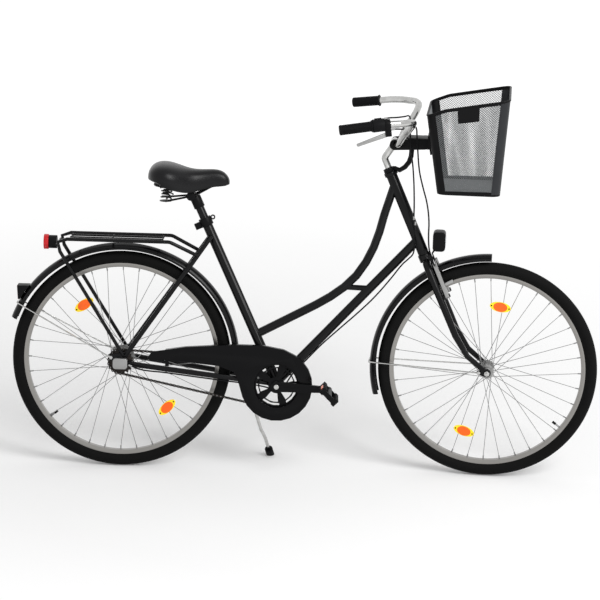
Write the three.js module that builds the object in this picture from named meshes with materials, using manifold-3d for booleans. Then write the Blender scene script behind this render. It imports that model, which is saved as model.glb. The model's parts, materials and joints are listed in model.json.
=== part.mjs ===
// A Dutch city bicycle with a swan-neck frame, in millimetres, +Z up, front towards +X, left towards +Y.
// It stands on both tyres and its side stand, leaning a little to the left, with its front wheel turned
// slightly to the right. Each sub-part is one named mesh; what turns together sits in one group.
import * as THREE from 'three';
import { mergeVertices } from 'three/addons/utils/BufferGeometryUtils.js';
import Module from 'manifold-3d';

const wasm = await Module();
wasm.setup();

// Driving dimensions of the whole bicycle
const WHEELBASE = 1173;
const HEAD_ANGLE = THREE.MathUtils.degToRad(66);
const SEAT_ANGLE = THREE.MathUtils.degToRad(65.2);
const FORK_RAKE = 48;
const CHAINSTAY_LENGTH = 503;
const BOTTOM_BRACKET_DROP = 63;
const LEAN = THREE.MathUtils.degToRad(5);
const STEER = THREE.MathUtils.degToRad(-5);
const GAP = 0.3;
const RUNNING_GAP = 0.5;
const CUT_OVERRUN = 6;

// Wheels, 28 inch on 622 mm rims
const WHEEL_RADIUS = 351;
const WHEEL_SEGMENTS = 32;
const TYRE_WIDTH = 40;
const TYRE_SHARES = [[0.35, 1], [0.72, 0.86], [1, 0.28]];
const TYRE_HEIGHT = 34;
const RIM_RADIUS = WHEEL_RADIUS - TYRE_HEIGHT;
const RIM_DEPTH = 17;
const RIM_INNER_RADIUS = RIM_RADIUS - RIM_DEPTH;
const RIM_BED_DEPTH = 8;
const RIM_BED_RADIUS = RIM_RADIUS - RIM_BED_DEPTH;
const RIM_WIDTH = 24;
const RIM_FLANGE = 1.5;
const RIM_CROWN_SHARE = 0.72;
const VALVE_LENGTH = 28;
const VALVE_RADIUS = 3;
const SPOKE_COUNT = 36;
const SPOKE_RADIUS = 1;
const SPOKE_CROSS = THREE.MathUtils.degToRad(60);
const SPOKE_RIM_OFFSET = 3.5;
const SPOKE_SPREAD = 1.5;
const REFLECTOR_PLACE_RADIUS = 213;
const REFLECTOR_LENGTH = 69;
const REFLECTOR_HEIGHT = 34;
const REFLECTOR_THICKNESS = 7;
const REAR_VALVE_ANGLE = THREE.MathUtils.degToRad(221);
const REAR_REFLECTOR_ANGLES = [THREE.MathUtils.degToRad(125), THREE.MathUtils.degToRad(-46)];
const FRONT_VALVE_ANGLE = THREE.MathUtils.degToRad(-37);
const FRONT_REFLECTOR_ANGLES = [THREE.MathUtils.degToRad(57), THREE.MathUtils.degToRad(228)];
const AXLE_RADIUS = 5;
const AXLE_BORE = 5.6;
const NUT_RADIUS = 9;
const NUT_HEIGHT = 8;
const AXLE_STUB = 5;
const LOCKNUT_RADIUS = 9;

// Rear hub, sprocket and chain
const REAR_DROPOUT_SPACING = 120;
const REAR_HUB_RADIUS = 29;
const REAR_FLANGE_RADIUS = 38;
const REAR_FLANGE_OFFSET = 30;
const REAR_HUB_END_RADIUS = 22;
const REAR_HUB_LEFT_END = 46;
const REAR_HUB_RIGHT_END = 40;
const HUB_FLANGE_THICKNESS = 4;
const SPOKE_INSET = 4;
const CHAIN_PITCH = 12.7;
const CHAIN_LINE = 45;
const CHAIN_WIDTH = 8;
const CHAIN_HEIGHT = 9;
const CHAIN_GROOVE = 3.6;
const CHAIN_WEB = 0.9;
const CHAINRING_TEETH = 38;
const SPROCKET_TEETH = 19;
const SPROCKET_THICKNESS = 2.2;
const TOOTH_ABOVE_PITCH = 3;
const TOOTH_BELOW_PITCH = 4.2;
const TOOTH_TIP_SHARE = 0.22;
const DRIVER_RADIUS = 17;
const DRIVER_LENGTH = 11;
const GEAR_BOX_LENGTH = 46;
const GEAR_BOX_HEIGHT = 34;
const GEAR_BOX_DEPTH = 20;
const GEAR_BOX_CORNER = 9;
const GEAR_BOX_GAP = 1;

// Front hub
const FRONT_DROPOUT_SPACING = 100;
const FRONT_HUB_RADIUS = 14;
const FRONT_FLANGE_RADIUS = 22;
const FRONT_FLANGE_OFFSET = 34;
const FRONT_HUB_END = 44;

// Frame tubes
const DROPOUT_THICKNESS = 5;
const DROPOUT_RADIUS = 20;
const DROPOUT_REACH = 32;
const DROPOUT_RELIEF = 26;
const SEAT_TUBE_LENGTH = 568;
const SEAT_TUBE_RADIUS = 16;
const SWAN_TUBE_RADIUS = 14;
const SWAN_HEAD_JOINT = 670;
const SWAN_SEAT_JOINT = 170;
const SWAN_SHARES = [
  [0.07, 0.2],
  [0.128, 0.385],
  [0.235, 0.567],
  [0.36, 0.682],
  [0.5, 0.766],
  [0.75, 0.884],
];
const DOWN_TUBE_RADIUS = 15;
const DOWN_TUBE_HEAD_JOINT = 475;
const HEAD_TUBE_RADIUS = 18;
const HEAD_TUBE_BOTTOM = 425;
const HEAD_TUBE_TOP = 698;
const HEAD_TUBE_BORE = 14.5;
const BRIDGE_SHARE_SWAN = 0.55;
const BRIDGE_SHARE_DOWN = 0.34;
const BRIDGE_RADIUS = 9;
const SHELL_RADIUS = 21;
const SHELL_WIDTH = 68;
const SPINDLE_RADIUS = 8;
const CHAINSTAY_RADIUS = 9;
const SEATSTAY_RADIUS = 8;
const SEATSTAY_JOINT = 522;
const SEATSTAY_TOP_OFFSET = 27;
const SEATSTAY_BEND_SHARE = 0.2;
const STAY_END_SHARE = 0.025;
const CHAINSTAY_START_SHARE = 0.14;
const CHAINSTAY_START_OFFSET = 28.5;
const CHAINSTAY_BEND_SHARE = 0.28;
const TYRE_CLEAR_OFFSET = 39;
const EYELET_RADIUS = 7;
const STAY_BRIDGE_RADIUS = 5;

// Seat post, clamp and saddle
const POST_RADIUS = 13.6;
const POST_INSERTION = 150;
const SEAT_LOWERING = 35;
const POST_RISE = 84;
const POST_TOP = SEAT_TUBE_LENGTH + POST_RISE;
const COLLAR_HEIGHT = 26;
const COLLAR_WALL = 4;
const COLLAR_LUG_LENGTH = 18;
const COLLAR_LUG_HEIGHT = 20;
const COLLAR_LUG_WIDTH = 16;
const COLLAR_EYE_RADIUS = 8;
const COLLAR_EYE_HOLE = 4;
const COLLAR_EYE_WIDTH = 6;
const CLAMP_RADIUS = 14;
const CLAMP_LENGTH = 62;
const CLAMP_SETBACK = 9;
const CLAMP_RISE = 12;
const SLEEVE_LENGTH = 34;
const SLEEVE_TOP = 3;
const SLEEVE_WALL = 3.5;
const RAIL_RADIUS = 3.5;
const RAIL_SPACING = 44;
const NOSE_MOUNT_FORWARD = 62;
const NOSE_MOUNT_WIDTH = 20;
const SPRING_PLACE = 78;
const SPRING_DROP = 11;
const SPRING_SEAT_THICKNESS = 3;
const SPRING_SPACING = 96;
const SPRING_HEIGHT = 44;
const SPRING_TURNS = 3.5;
const SPRING_WIRE = 2.4;
const SPRING_RADIUS = 17;
const SPRING_WAIST_SHARE = 0.72;
const SPRING_STEPS = 8;
const SADDLE_LENGTH = 258;
const SADDLE_WIDTH = 206;
const CLAMP_TO_SADDLE_TAIL = -137;
const SADDLE_LOW = 11;
const SADDLE_HEIGHT = 95;
const SADDLE_BASE_THICKNESS = 4;
const SADDLE_BASE_SHARE = 0.85;
const SADDLE_POCKET_SHARE = 0.88;
// Length from the tail, width, top and skirt
const SADDLE_SHARES = [
  [0, 0.36, 0.62, 0.45],
  [0.025, 0.64, 0.8, 0.4],
  [0.08, 0.86, 0.93, 0.34],
  [0.16, 0.98, 0.99, 0.28],
  [0.26, 1, 0.98, 0.2],
  [0.37, 0.86, 0.9, 0.1],
  [0.48, 0.62, 0.81, 0.02],
  [0.58, 0.45, 0.765, 0.05],
  [0.7, 0.35, 0.77, 0.16],
  [0.82, 0.29, 0.79, 0.22],
  [0.91, 0.255, 0.74, 0.24],
  [0.97, 0.21, 0.6, 0.26],
  [1, 0.12, 0.45, 0.28],
];
// Half of the pad's section, from the middle of its flat underside: out and up
const PAD_SECTION_SHARES = [[0.93, 0], [1, 0.3], [0.97, 0.58], [0.84, 0.82], [0.55, 0.95], [0.2, 1]];

// Cranks, chainring and pedals
const CRANK_LENGTH = 168;
const CRANK_ANGLE = THREE.MathUtils.degToRad(2);
const CRANK_WIDTH = 24;
const CRANK_TIP_SHARE = 0.8;
const CRANK_THICKNESS = 12;
const CRANK_OFFSET = 62;
const CRANK_BOSS_RADIUS = 17;
const CHAINRING_THICKNESS = 2.4;
const CHAINRING_WINDOW_INNER = 27;
const CHAINRING_WINDOW_OUTER = 55;
const CHAINRING_SLOT_INNER = 60;
const CHAINRING_SLOT_OUTER = 66;
const CHAINRING_WINDOW_SHARE = 0.62;
const CHAINRING_SLOT_SHARE = 0.7;
const CHAINRING_ARMS = 5;
const SPINDLE_LENGTH = 152;
const PEDAL_AXLE_RADIUS = 5;
const PEDAL_LENGTH = 96;
const PEDAL_DEPTH = 64;
const PEDAL_HEIGHT = 24;
const PEDAL_BAR = 13;
const PEDAL_GAP = 4;
const PEDAL_TUBE_RADIUS = 9;
const PEDAL_CAGE_THICKNESS = 5;
const PEDAL_CAGE_SHARE = 0.7;
const PEDAL_TILT = THREE.MathUtils.degToRad(45);

// Mudguards
const MUDGUARD_GAP = 27;
const MUDGUARD_RADIUS = WHEEL_RADIUS + MUDGUARD_GAP;
const MUDGUARD_WIDTH = 54;
const MUDGUARD_DEPTH = 20;
const MUDGUARD_THICKNESS = 1.6;
const MUDGUARD_ARC_POINTS = 6;
const REAR_MUDGUARD_TAIL = THREE.MathUtils.degToRad(160);
const REAR_MUDGUARD_FRONT = THREE.MathUtils.degToRad(8);
const FRONT_MUDGUARD_TAIL = THREE.MathUtils.degToRad(195);
const FRONT_MUDGUARD_FRONT = THREE.MathUtils.degToRad(90);
const MUDGUARD_STEP = THREE.MathUtils.degToRad(7);
const STAY_RADIUS = 2.4;
const REAR_STAY_ANGLE = THREE.MathUtils.degToRad(152);
const FRONT_STAY_ANGLE = THREE.MathUtils.degToRad(178);
const STAY_EYE_RADIUS = 5.5;
const STAY_BEND = 6;
const REAR_EYELET_DISTANCE = 34;
const FRONT_EYELET_DISTANCE = 26;

// Carrier and rear lights
const CARRIER_RADIUS = 6;
const CARRIER_RISE = 16;
const CARRIER_HEIGHT = WHEEL_RADIUS + MUDGUARD_RADIUS + CARRIER_RISE;
const CARRIER_WIDTH = 130;
const CARRIER_REAR = -221;
const CARRIER_FRONT = 150;
const CARRIER_BEND = 26;
const CARRIER_FOOT_FORWARD = 8;
const CARRIER_FOOT_RISE = 27;
const CARRIER_FRONT_REACH = 424;
const CARRIER_ROD_RADIUS = 3.5;
const CARRIER_ROD_SPACING = 44;
const CARRIER_CROSS_SHARES = [0.15, 0.5, 0.93];
const LAMP_RADIUS = 21;
const LAMP_BODY_LENGTH = 26;
const LAMP_LENS_LENGTH = 15;
const LAMP_LENS_LIP = 3;
const LAMP_ROD_SHARE = 0.055;
const REAR_REFLECTOR_ANGLE = THREE.MathUtils.degToRad(146);
const REAR_REFLECTOR_SPAN = THREE.MathUtils.degToRad(8);
const REAR_REFLECTOR_SIZE = 46;
const REAR_REFLECTOR_DEPTH = 10;
const REAR_REFLECTOR_SLANT = 3;

// Chain guard
const GUARD_WALL = 2.5;
const GUARD_DISC_RADIUS = 115;
const GUARD_OPENING_RADIUS = 72;
const GUARD_DEPTH = 18;
const GUARD_FACE = 58;
const GUARD_REACH = 415;
const GUARD_HEIGHT = 129;
const GUARD_DISC_START = THREE.MathUtils.degToRad(-160);
const GUARD_DISC_END = THREE.MathUtils.degToRad(60);
const GUARD_DISC_STEPS = 14;
const GUARD_TAIL_OPENING = 58;
const GUARD_LOW_OPENING = 47;
const GUARD_STRUT_HEIGHT = 108;
const GUARD_STRUT_RADIUS = 4;
const GUARD_FOOT_WIDTH = 12;
const GUARD_FOOT_HEIGHT = 20;
// Back from the bottom bracket and up from it, along the top edge and back under the arm
const GUARD_TOP_SHARES = [[-0.05, 0.91], [0.11, 1], [0.33, 1.005], [0.7, 0.915], [0.962, 0.78]];
const GUARD_LOW_SHARES = [[1, 0.62], [0.975, 0.54], [0.83, 0.575], [0.45, 0.46], [0.33, 0.32], [0.3, 0.12]];

// Side stand
const STAND_BACK = 99;
const STAND_DROP = 16;
const STAND_OFFSET = 47;
const STAND_EYE_RADIUS = 11;
const STAND_EYE_WIDTH = 13;
const STAND_PLATE_WIDTH = 28;
const STAND_PLATE_THICKNESS = 10;
const STAND_PLATE_RISE = 9;
const STAND_BLOCK_LENGTH = 30;
const STAND_BLOCK_HEIGHT = 26;
const STAND_PIN_HEAD = 4;
const STAND_PIN_RADIUS = 4;
const STAND_LEG_RADIUS = 5.5;
const STAND_KNEE_FORWARD = 52;
const STAND_KNEE_HEIGHT = 115;
const STAND_KNEE_OUT = 50;
const STAND_BEND_FORWARD = 58;
const STAND_BEND_HEIGHT = 104;
const STAND_BEND_OUT = 54;
const STAND_FLARE_FORWARD = 66;
const STAND_FLARE_HEIGHT = 82;
const STAND_FLARE_OUT = 72;
const STAND_FOOT_FORWARD = 82;
const STAND_FOOT_OUT = 140;
const STAND_FOOT_RADIUS = 13;
const STAND_TIP_SHARE = 0.85;
const STAND_TIP_CLEAR_SHARE = 0.01;
const STAND_RUBBER_SHARE = 0.66;
const STAND_PAST_SHARE = 1.3;

// Fork, headset and stem
const STEERER_RADIUS = 12.7;
const STEERER_TOP = 712;
const CROWN_HEIGHT = 402;
const BLADE_RADIUS = 13;
const BLADE_TAPER_SHARES = [1, 1, 1, 0.85, 0.72, 0.62];
const CROWN_INSET = 8;
const CROWN_SHOULDER = 35;
const CROWN_SHOULDER_DROP = 7;
const CROWN_DROP = 37;
const CROWN_BOLT_LENGTH = 24;
const CROWN_BOLT_RADIUS = 6;
const TONGUE_LENGTH = 8;
const TONGUE_WIDTH = 16;
const BLADE_OFFSET = 47;
const BLADE_LOW_OFFSET = 50;
const BLADE_END_OFFSET = 52.5;
const BLADE_BEND_HEIGHT = 150;
const BLADE_BEND_SHARE = 0.22;
const BLADE_END_CUT = 16;
const FORK_END_THICKNESS = 5;
const FORK_END_RADIUS = 13;
const HEADSET_RADIUS = 21;
const HEADSET_HEIGHT = 12;
const STEM_RADIUS = 11;
const STEM_KNEE = 758;
const CLAMP_FORWARD = 49;
const CLAMP_HEIGHT = 789;
const CLAMP_WIDTH = 44;
const CLAMP_WALL = 5;

// Handlebar, grips, shifter and brake lever, measured from the middle of the clamp
const BAR_RADIUS = 11;
const BAR_RISE = 100;
const BAR_REACH = 60;
const BAR_HALF_WIDTH = 300;
const BAR_SWEEP = 153;
const BAR_SHARES = [[0.12, 0.12, 0], [0.5, 0.33, 0.38], [1, 0.56, 0.86], [0.95, 0.74, 1], [0.4, 0.855, 1.01]];
const GRIP_START_BACK = 20;
const GRIP_START_OUT = 273;
const GRIP_END_DROP = 19;
const GRIP_RADIUS = 16;
const GRIP_LENGTH = 92;
const GRIP_COLLAR = 4;
const GRIP_COLLAR_RADIUS = 19;
const SHIFTER_RADIUS = 20;
const SHIFTER_START = 2;
const SHIFTER_LENGTH = 36;
const SHIFTER_RIB_WIDTH = 7;
const SHIFTER_RIB_HEIGHT = 5;
const SHIFTER_RIB_SHARE = 0.6;
const LEVER_CLAMP_RADIUS = 15.5;
const LEVER_CLAMP_LENGTH = 18;
const LEVER_DROP = 30;
const LEVER_TIP_DROP = 22;
const LEVER_CHEEK = 4;
const LEVER_PIN_RADIUS = 3;
const LEVER_BODY_WIDTH = 12;
const LEVER_THICKNESS = 9;
const LEVER_REACH = 96;
const LEVER_PIVOT_RADIUS = 7;

// Rim brake
const BRAKE_PIVOT_HEIGHT = 279;
const BRAKE_PIVOT_RADIUS = 4;
const BRAKE_PIVOT_OFFSET = 45;
const BRAKE_BOSS_RADIUS = 8;
const BRAKE_CAP_RADIUS = 6;
const BRAKE_CAP_THICKNESS = 3;
const BRAKE_ARM_FRONT = 18;
const BRAKE_ARM_THICKNESS = 12;
const BRAKE_ARM_LEAN = 7;
const BRAKE_ARM_LENGTH = 108;
const BRAKE_ARM_WIDTH = 13;
const BRAKE_WIRE_RADIUS = 1.2;
const BRAKE_WIRE_SLOT = 5;
const BRAKE_WIRE_SHORT = 11;
const BRAKE_PAD_SINK = 1;
const BRAKE_PAD_THICKNESS = 10;
const BRAKE_PAD_LENGTH = 66;
const BRAKE_PAD_HEIGHT = 10;
const BRAKE_PAD_GAP = 2;

// Basket, its bracket and the front lamp
const BASKET_BOTTOM_BACK = 141;
const BASKET_BOTTOM_FRONT = 337;
const BASKET_BOTTOM = -133;
const BASKET_TOP_BACK = 92;
const BASKET_TOP_FRONT = 357;
const BASKET_BACK_RIM = 116;
const BASKET_KINK_FORWARD = 156;
const BASKET_KINK_RIM = 138;
const BASKET_FRONT_RIM = 173;
const BASKET_WIDTH = 350;
const BASKET_BOTTOM_WIDTH = 290;
const BASKET_WALL = 3;
const BASKET_CORNER = 28;
const BASKET_RIM_FALL = 32;
const BRACKET_WIDTH = 70;
const BRACKET_PLATE_WIDTH = 110;
const BRACKET_PLATE_HEIGHT = 60;
const BRACKET_PLATE_THICKNESS = 10;
const BRACKET_PLATE_RISE = 6;
const BRACKET_BLOCK_START = 40;
const BRACKET_BLOCK_HEIGHT = 34;
const BRACKET_ARM_INNER = 25;
const BRACKET_ARM_WIDTH = 14;
const SUPPORT_RADIUS = 8;
const SUPPORT_CLAMP_BASE = 710.6;
const SUPPORT_CLAMP_HEIGHT = 12;
const SUPPORT_LOW_FORWARD = 15;
const SUPPORT_LOW_HEIGHT = -86;
const SUPPORT_BEND_FORWARD = 40;
const SUPPORT_BEND_HEIGHT = -68;
const SUPPORT_TOP_FORWARD = 52;
const SUPPORT_TOP_HEIGHT = -38;
const SUPPORT_CLAMP_WALL = 5;
const FRONT_LAMP_LENGTH = 40;
const FRONT_LAMP_WIDTH = 54;
const FRONT_LAMP_HEIGHT = 62;
const FRONT_LAMP_HEIGHT_ON_AXIS = 447;
const FRONT_LAMP_FORWARD = 62;
const FRONT_LAMP_CORNER = 11;
const LAMP_BRACKET_THICKNESS = 3;
const LAMP_BRACKET_WIDTH = 16;

// Control cables
const CABLE_RADIUS = 2.5;

// Finishes
const FINISHES = {
  paint: { color: 0x0b0b0d, roughness: 0.22, metalness: 0.1 },
  rubber: { color: 0x101011, roughness: 0.85, metalness: 0 },
  rim: { color: 0xb9bab8, roughness: 0.32, metalness: 1 },
  spoke: { color: 0xc8c9ca, roughness: 0.25, metalness: 1 },
  chrome: { color: 0xd6d6d4, roughness: 0.08, metalness: 1 },
  alloy: { color: 0xa9aaa9, roughness: 0.35, metalness: 1 },
  chain: { color: 0x4a4036, roughness: 0.45, metalness: 0.9 },
  plastic: { color: 0x0e0e10, roughness: 0.45, metalness: 0 },
  vinyl: { color: 0x131314, roughness: 0.5, metalness: 0 },
  mesh: { color: 0x2a2a2c, roughness: 0.5, metalness: 0.4 },
  amber: { color: 0xff7a12, roughness: 0.3, metalness: 0 },
  red: { color: 0xc0161b, roughness: 0.2, metalness: 0 },
};

// Vectors, meshes and solids
function vec(x, y, z) {
  return new THREE.Vector3(x, y, z);
}

function addMesh(parent, name, geometry, finish) {
  const mesh = new THREE.Mesh(geometry, new THREE.MeshStandardMaterial(FINISHES[finish]));
  mesh.name = name;
  parent.add(mesh);
  return mesh;
}

function addGroup(parent, x, y, z) {
  const group = new THREE.Group();
  group.position.set(x, y, z);
  parent.add(group);
  return group;
}

function toSolid(geometry) {
  const bare = geometry.clone();
  bare.deleteAttribute('normal');
  bare.deleteAttribute('uv');
  const merged = mergeVertices(bare);
  const solid = new wasm.Manifold(new wasm.Mesh({
    numProp: 3,
    vertProperties: new Float32Array(merged.attributes.position.array),
    triVerts: new Uint32Array(merged.index.array),
  }));
  return solid;
}

function toGeometry(solid) {
  const mesh = solid.getMesh();
  const geometry = new THREE.BufferGeometry();
  geometry.setAttribute('position', new THREE.Float32BufferAttribute(mesh.vertProperties, 3));
  geometry.setIndex(new THREE.Uint32BufferAttribute(mesh.triVerts, 1));
  return geometry;
}

function unite(geometries) {
  return geometries.map(toSolid).reduce((whole, part) => whole.add(part));
}

function join(geometries, cutters = []) {
  let whole = unite(geometries);
  for (const cutter of cutters) {
    whole = whole.subtract(toSolid(cutter));
  }
  return toGeometry(whole);
}

function signedVolume(geometry) {
  const points = geometry.toNonIndexed().attributes.position;
  const [a, b, c] = [vec(0, 0, 0), vec(0, 0, 0), vec(0, 0, 0)];
  let sum = 0;
  for (let i = 0; i < points.count; i += 3) {
    a.fromBufferAttribute(points, i);
    b.fromBufferAttribute(points, i + 1);
    c.fromBufferAttribute(points, i + 2);
    sum += a.dot(b.cross(c));
  }
  return sum;
}

// Turns a closed surface right side out
function facingOut(geometry) {
  const merged = geometry.index ? geometry : mergeVertices(geometry);
  if (signedVolume(merged) < 0) {
    const order = merged.index.array;
    for (let i = 0; i < order.length; i += 3) {
      [order[i], order[i + 1]] = [order[i + 1], order[i]];
    }
  }
  return merged;
}

// A path that gives an extrusion one ring at each of its points, so that straight runs cost one step
class RingPath extends THREE.Curve {
  constructor(points) {
    super();
    this.points = points;
  }

  ringAt(u) {
    return Math.round(u * (this.points.length - 1));
  }

  getPoint(t, target = new THREE.Vector3()) {
    return target.copy(this.points[this.ringAt(t)]);
  }

  getPointAt(u, target = new THREE.Vector3()) {
    return this.getPoint(u, target);
  }

  getTangentAt(u, target = new THREE.Vector3()) {
    const ring = this.ringAt(u);
    const here = this.points[ring];
    const before = this.points[Math.max(ring - 1, 0)];
    const after = this.points[Math.min(ring + 1, this.points.length - 1)];
    const into = here.clone().sub(before).normalize();
    const out = after.clone().sub(here).normalize();
    return target.copy(into.add(out)).normalize();
  }
}

function circlePoints(radius, sides) {
  const points = [];
  for (let i = 0; i < sides; i += 1) {
    const angle = (2 * Math.PI * (i + 0.5)) / sides;
    points.push(new THREE.Vector2(radius * Math.cos(angle), radius * Math.sin(angle)));
  }
  return points;
}

function alongPath(points, outline) {
  const settings = { steps: points.length - 1, extrudePath: new RingPath(points) };
  const solid = new THREE.ExtrudeGeometry(new THREE.Shape(outline), settings);
  return facingOut(mergeVertices(solid.deleteAttribute('normal').deleteAttribute('uv')));
}

// A closed skin over rings of as many points each, with flat ends
function loft(rings) {
  const sides = rings[0].length;
  const positions = rings.flat().flatMap((point) => [point.x, point.y, point.z]);
  const order = [];
  for (let ring = 0; ring < rings.length - 1; ring += 1) {
    for (let side = 0; side < sides; side += 1) {
      const a = ring * sides + side;
      const b = ring * sides + ((side + 1) % sides);
      order.push(a, b, a + sides, b, b + sides, a + sides);
    }
  }
  const last = (rings.length - 1) * sides;
  for (let side = 1; side < sides - 1; side += 1) {
    order.push(0, side + 1, side);
    order.push(last, last + side, last + side + 1);
  }
  const geometry = new THREE.BufferGeometry();
  geometry.setAttribute('position', new THREE.Float32BufferAttribute(positions, 3));
  geometry.setIndex(order);
  return facingOut(geometry);
}

function tube(points, radius, sides = 8) {
  return alongPath(points, circlePoints(radius, sides));
}

// A round tube whose radius changes from ring to ring
function taperedTube(points, radii, sides = 8) {
  const frames = new RingPath(points).computeFrenetFrames(points.length - 1, false);
  return loft(points.map((point, index) => circlePoints(radii[index], sides).map((spot) => {
    const place = point.clone().addScaledVector(frames.normals[index], spot.x);
    return place.addScaledVector(frames.binormals[index], spot.y);
  })));
}

// A polyline with its inner corners rounded to a radius
function rounded(corners, radius, steps = 4) {
  const points = [corners[0]];
  for (let i = 1; i < corners.length - 1; i += 1) {
    const back = corners[i - 1].clone().sub(corners[i]).normalize();
    const ahead = corners[i + 1].clone().sub(corners[i]).normalize();
    const half = back.angleTo(ahead) / 2;
    const reach = radius / Math.tan(half);
    const start = corners[i].clone().addScaledVector(back, reach);
    const end = corners[i].clone().addScaledVector(ahead, reach);
    const bend = new THREE.QuadraticBezierCurve3(start, corners[i], end);
    points.push(...bend.getPoints(steps));
  }
  points.push(corners[corners.length - 1]);
  return points;
}

function smooth(points, count) {
  return new THREE.CatmullRomCurve3(points, false, 'centripetal').getSpacedPoints(count);
}

// A straight round bar between two points, its flats at the radius where it must clear something
function bar(from, to, radius, sides = 12) {
  return tube([from, to], radius / Math.cos(Math.PI / sides), sides);
}

// A ring turned about the Y axis from a closed profile of [radius, place along Y], flats at the radius
function ring(profile, segments) {
  const scale = 1 / Math.cos(Math.PI / segments);
  const points = profile.map(([radius, along]) => new THREE.Vector2(radius * scale, along));
  points.push(points[0].clone());
  const geometry = new THREE.LatheGeometry(points, segments, Math.PI / segments);
  return facingOut(mergeVertices(geometry.deleteAttribute('normal').deleteAttribute('uv')));
}

// A round pin or disc along Y between two places
function disc(radius, from, to, segments = 16) {
  const geometry = new THREE.CylinderGeometry(radius, radius, Math.abs(to - from), segments);
  geometry.rotateY(Math.PI / segments);
  return geometry.translate(0, (from + to) / 2, 0);
}

function box(width, depth, height, x, y, z) {
  return new THREE.BoxGeometry(width, depth, height).translate(x, y, z);
}

// An outline in X and Z, made thick along Y from one place to another
function plate(outline, from, to, holes = []) {
  const shape = new THREE.Shape(outline);
  shape.holes = holes.map((points) => new THREE.Path(points));
  const geometry = new THREE.ExtrudeGeometry(shape, { depth: Math.abs(to - from), bevelEnabled: false });
  return geometry.rotateX(Math.PI / 2).translate(0, Math.max(from, to), 0);
}

// An outline in X and Y, made thick along Z from one height to another
function slab(outline, from, to) {
  const settings = { depth: Math.abs(to - from), bevelEnabled: false };
  return new THREE.ExtrudeGeometry(new THREE.Shape(outline), settings).translate(0, 0, Math.min(from, to));
}

function arcPoints(radius, from, to, steps, x = 0, z = 0) {
  const points = [];
  for (let i = 0; i <= steps; i += 1) {
    const angle = from + ((to - from) * i) / steps;
    points.push(new THREE.Vector2(x + radius * Math.cos(angle), z + radius * Math.sin(angle)));
  }
  return points;
}

// The outline of a cord stretched round circles given as [x, z, radius]
function stretched(circles, steps = 12) {
  const round = ([x, z, radius]) => arcPoints(radius, 0, 2 * Math.PI, steps, x, z).slice(1);
  const cloud = circles.flatMap(round);
  cloud.sort((a, b) => a.x - b.x || a.y - b.y);
  const turn = (o, a, b) => (a.x - o.x) * (b.y - o.y) - (a.y - o.y) * (b.x - o.x);
  const halfRound = (points) => {
    const kept = [];
    for (const point of points) {
      while (kept.length > 1 && turn(kept.at(-2), kept.at(-1), point) <= 0) {
        kept.pop();
      }
      kept.push(point);
    }
    kept.pop();
    return kept;
  };
  return [...halfRound(cloud), ...halfRound(cloud.reverse())];
}

// The same outline drawn in all round by a distance; the outline runs counter-clockwise
function drawnIn(outline, distance) {
  return outline.map((point, index) => {
    const before = outline.at(index - 1);
    const after = outline[(index + 1) % outline.length];
    const into = point.clone().sub(before).normalize();
    const out = after.clone().sub(point).normalize();
    const normal = new THREE.Vector2(-into.y - out.y, into.x + out.x).normalize();
    const corner = normal.dot(new THREE.Vector2(-into.y, into.x));
    return point.clone().addScaledVector(normal, distance / corner);
  });
}

// Places on the frame, seen from the middle plane with the bicycle upright and the rear axle at X = 0
const bottomBracket = vec(
  Math.sqrt(CHAINSTAY_LENGTH ** 2 - BOTTOM_BRACKET_DROP ** 2),
  0,
  WHEEL_RADIUS - BOTTOM_BRACKET_DROP,
);
const rearAxle = vec(0, 0, WHEEL_RADIUS);
const frontAxle = vec(WHEELBASE, 0, WHEEL_RADIUS);
const upSteering = vec(-Math.cos(HEAD_ANGLE), 0, Math.sin(HEAD_ANGLE));
const aheadSteering = vec(Math.sin(HEAD_ANGLE), 0, Math.cos(HEAD_ANGLE));
const steeringFoot = frontAxle.clone().addScaledVector(aheadSteering, -FORK_RAKE);
const upSeat = vec(-Math.cos(SEAT_ANGLE), 0, Math.sin(SEAT_ANGLE));

function onSteering(height, ahead = 0, left = 0) {
  const place = steeringFoot.clone().addScaledVector(upSteering, height);
  place.addScaledVector(aheadSteering, ahead);
  place.y += left;
  return place;
}

function onSeatTube(length, ahead = 0, left = 0) {
  const place = bottomBracket.clone().addScaledVector(upSeat, length);
  place.addScaledVector(vec(Math.sin(SEAT_ANGLE), 0, Math.cos(SEAT_ANGLE)), ahead);
  place.y += left;
  return place;
}

const root = new THREE.Group();
const bike = addGroup(root, 0, 0, 0);
bike.rotation.x = -LEAN;
const steeringBase = addGroup(bike, steeringFoot.x, 0, steeringFoot.z);
steeringBase.rotation.y = HEAD_ANGLE - Math.PI / 2;
const steering = addGroup(steeringBase, 0, 0, 0);
steering.rotation.z = STEER;
const bars = addGroup(steering, CLAMP_FORWARD, 0, CLAMP_HEIGHT);
bars.rotation.y = Math.PI / 2 - HEAD_ANGLE;

// Wheels
function tyreProfile() {
  const bead = RIM_WIDTH / 2 - RIM_FLANGE - GAP;
  const lip = RIM_RADIUS + GAP;
  const half = [[RIM_BED_RADIUS + GAP, bead], [lip, bead]];
  for (const [rise, width] of TYRE_SHARES) {
    half.push([lip + (WHEEL_RADIUS - lip) * rise, (TYRE_WIDTH / 2) * width]);
  }
  const other = half.map(([radius, along]) => [radius, -along]).reverse();
  return half.concat(other);
}

function rimProfile() {
  const out = RIM_WIDTH / 2;
  const inside = out - RIM_FLANGE;
  const half = [
    [RIM_INNER_RADIUS, out * RIM_CROWN_SHARE],
    [RIM_BED_RADIUS, out],
    [RIM_RADIUS, out],
    [RIM_RADIUS, inside],
    [RIM_BED_RADIUS, inside],
  ];
  const other = half.map(([radius, along]) => [radius, -along]).reverse();
  return half.concat(other);
}

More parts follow.
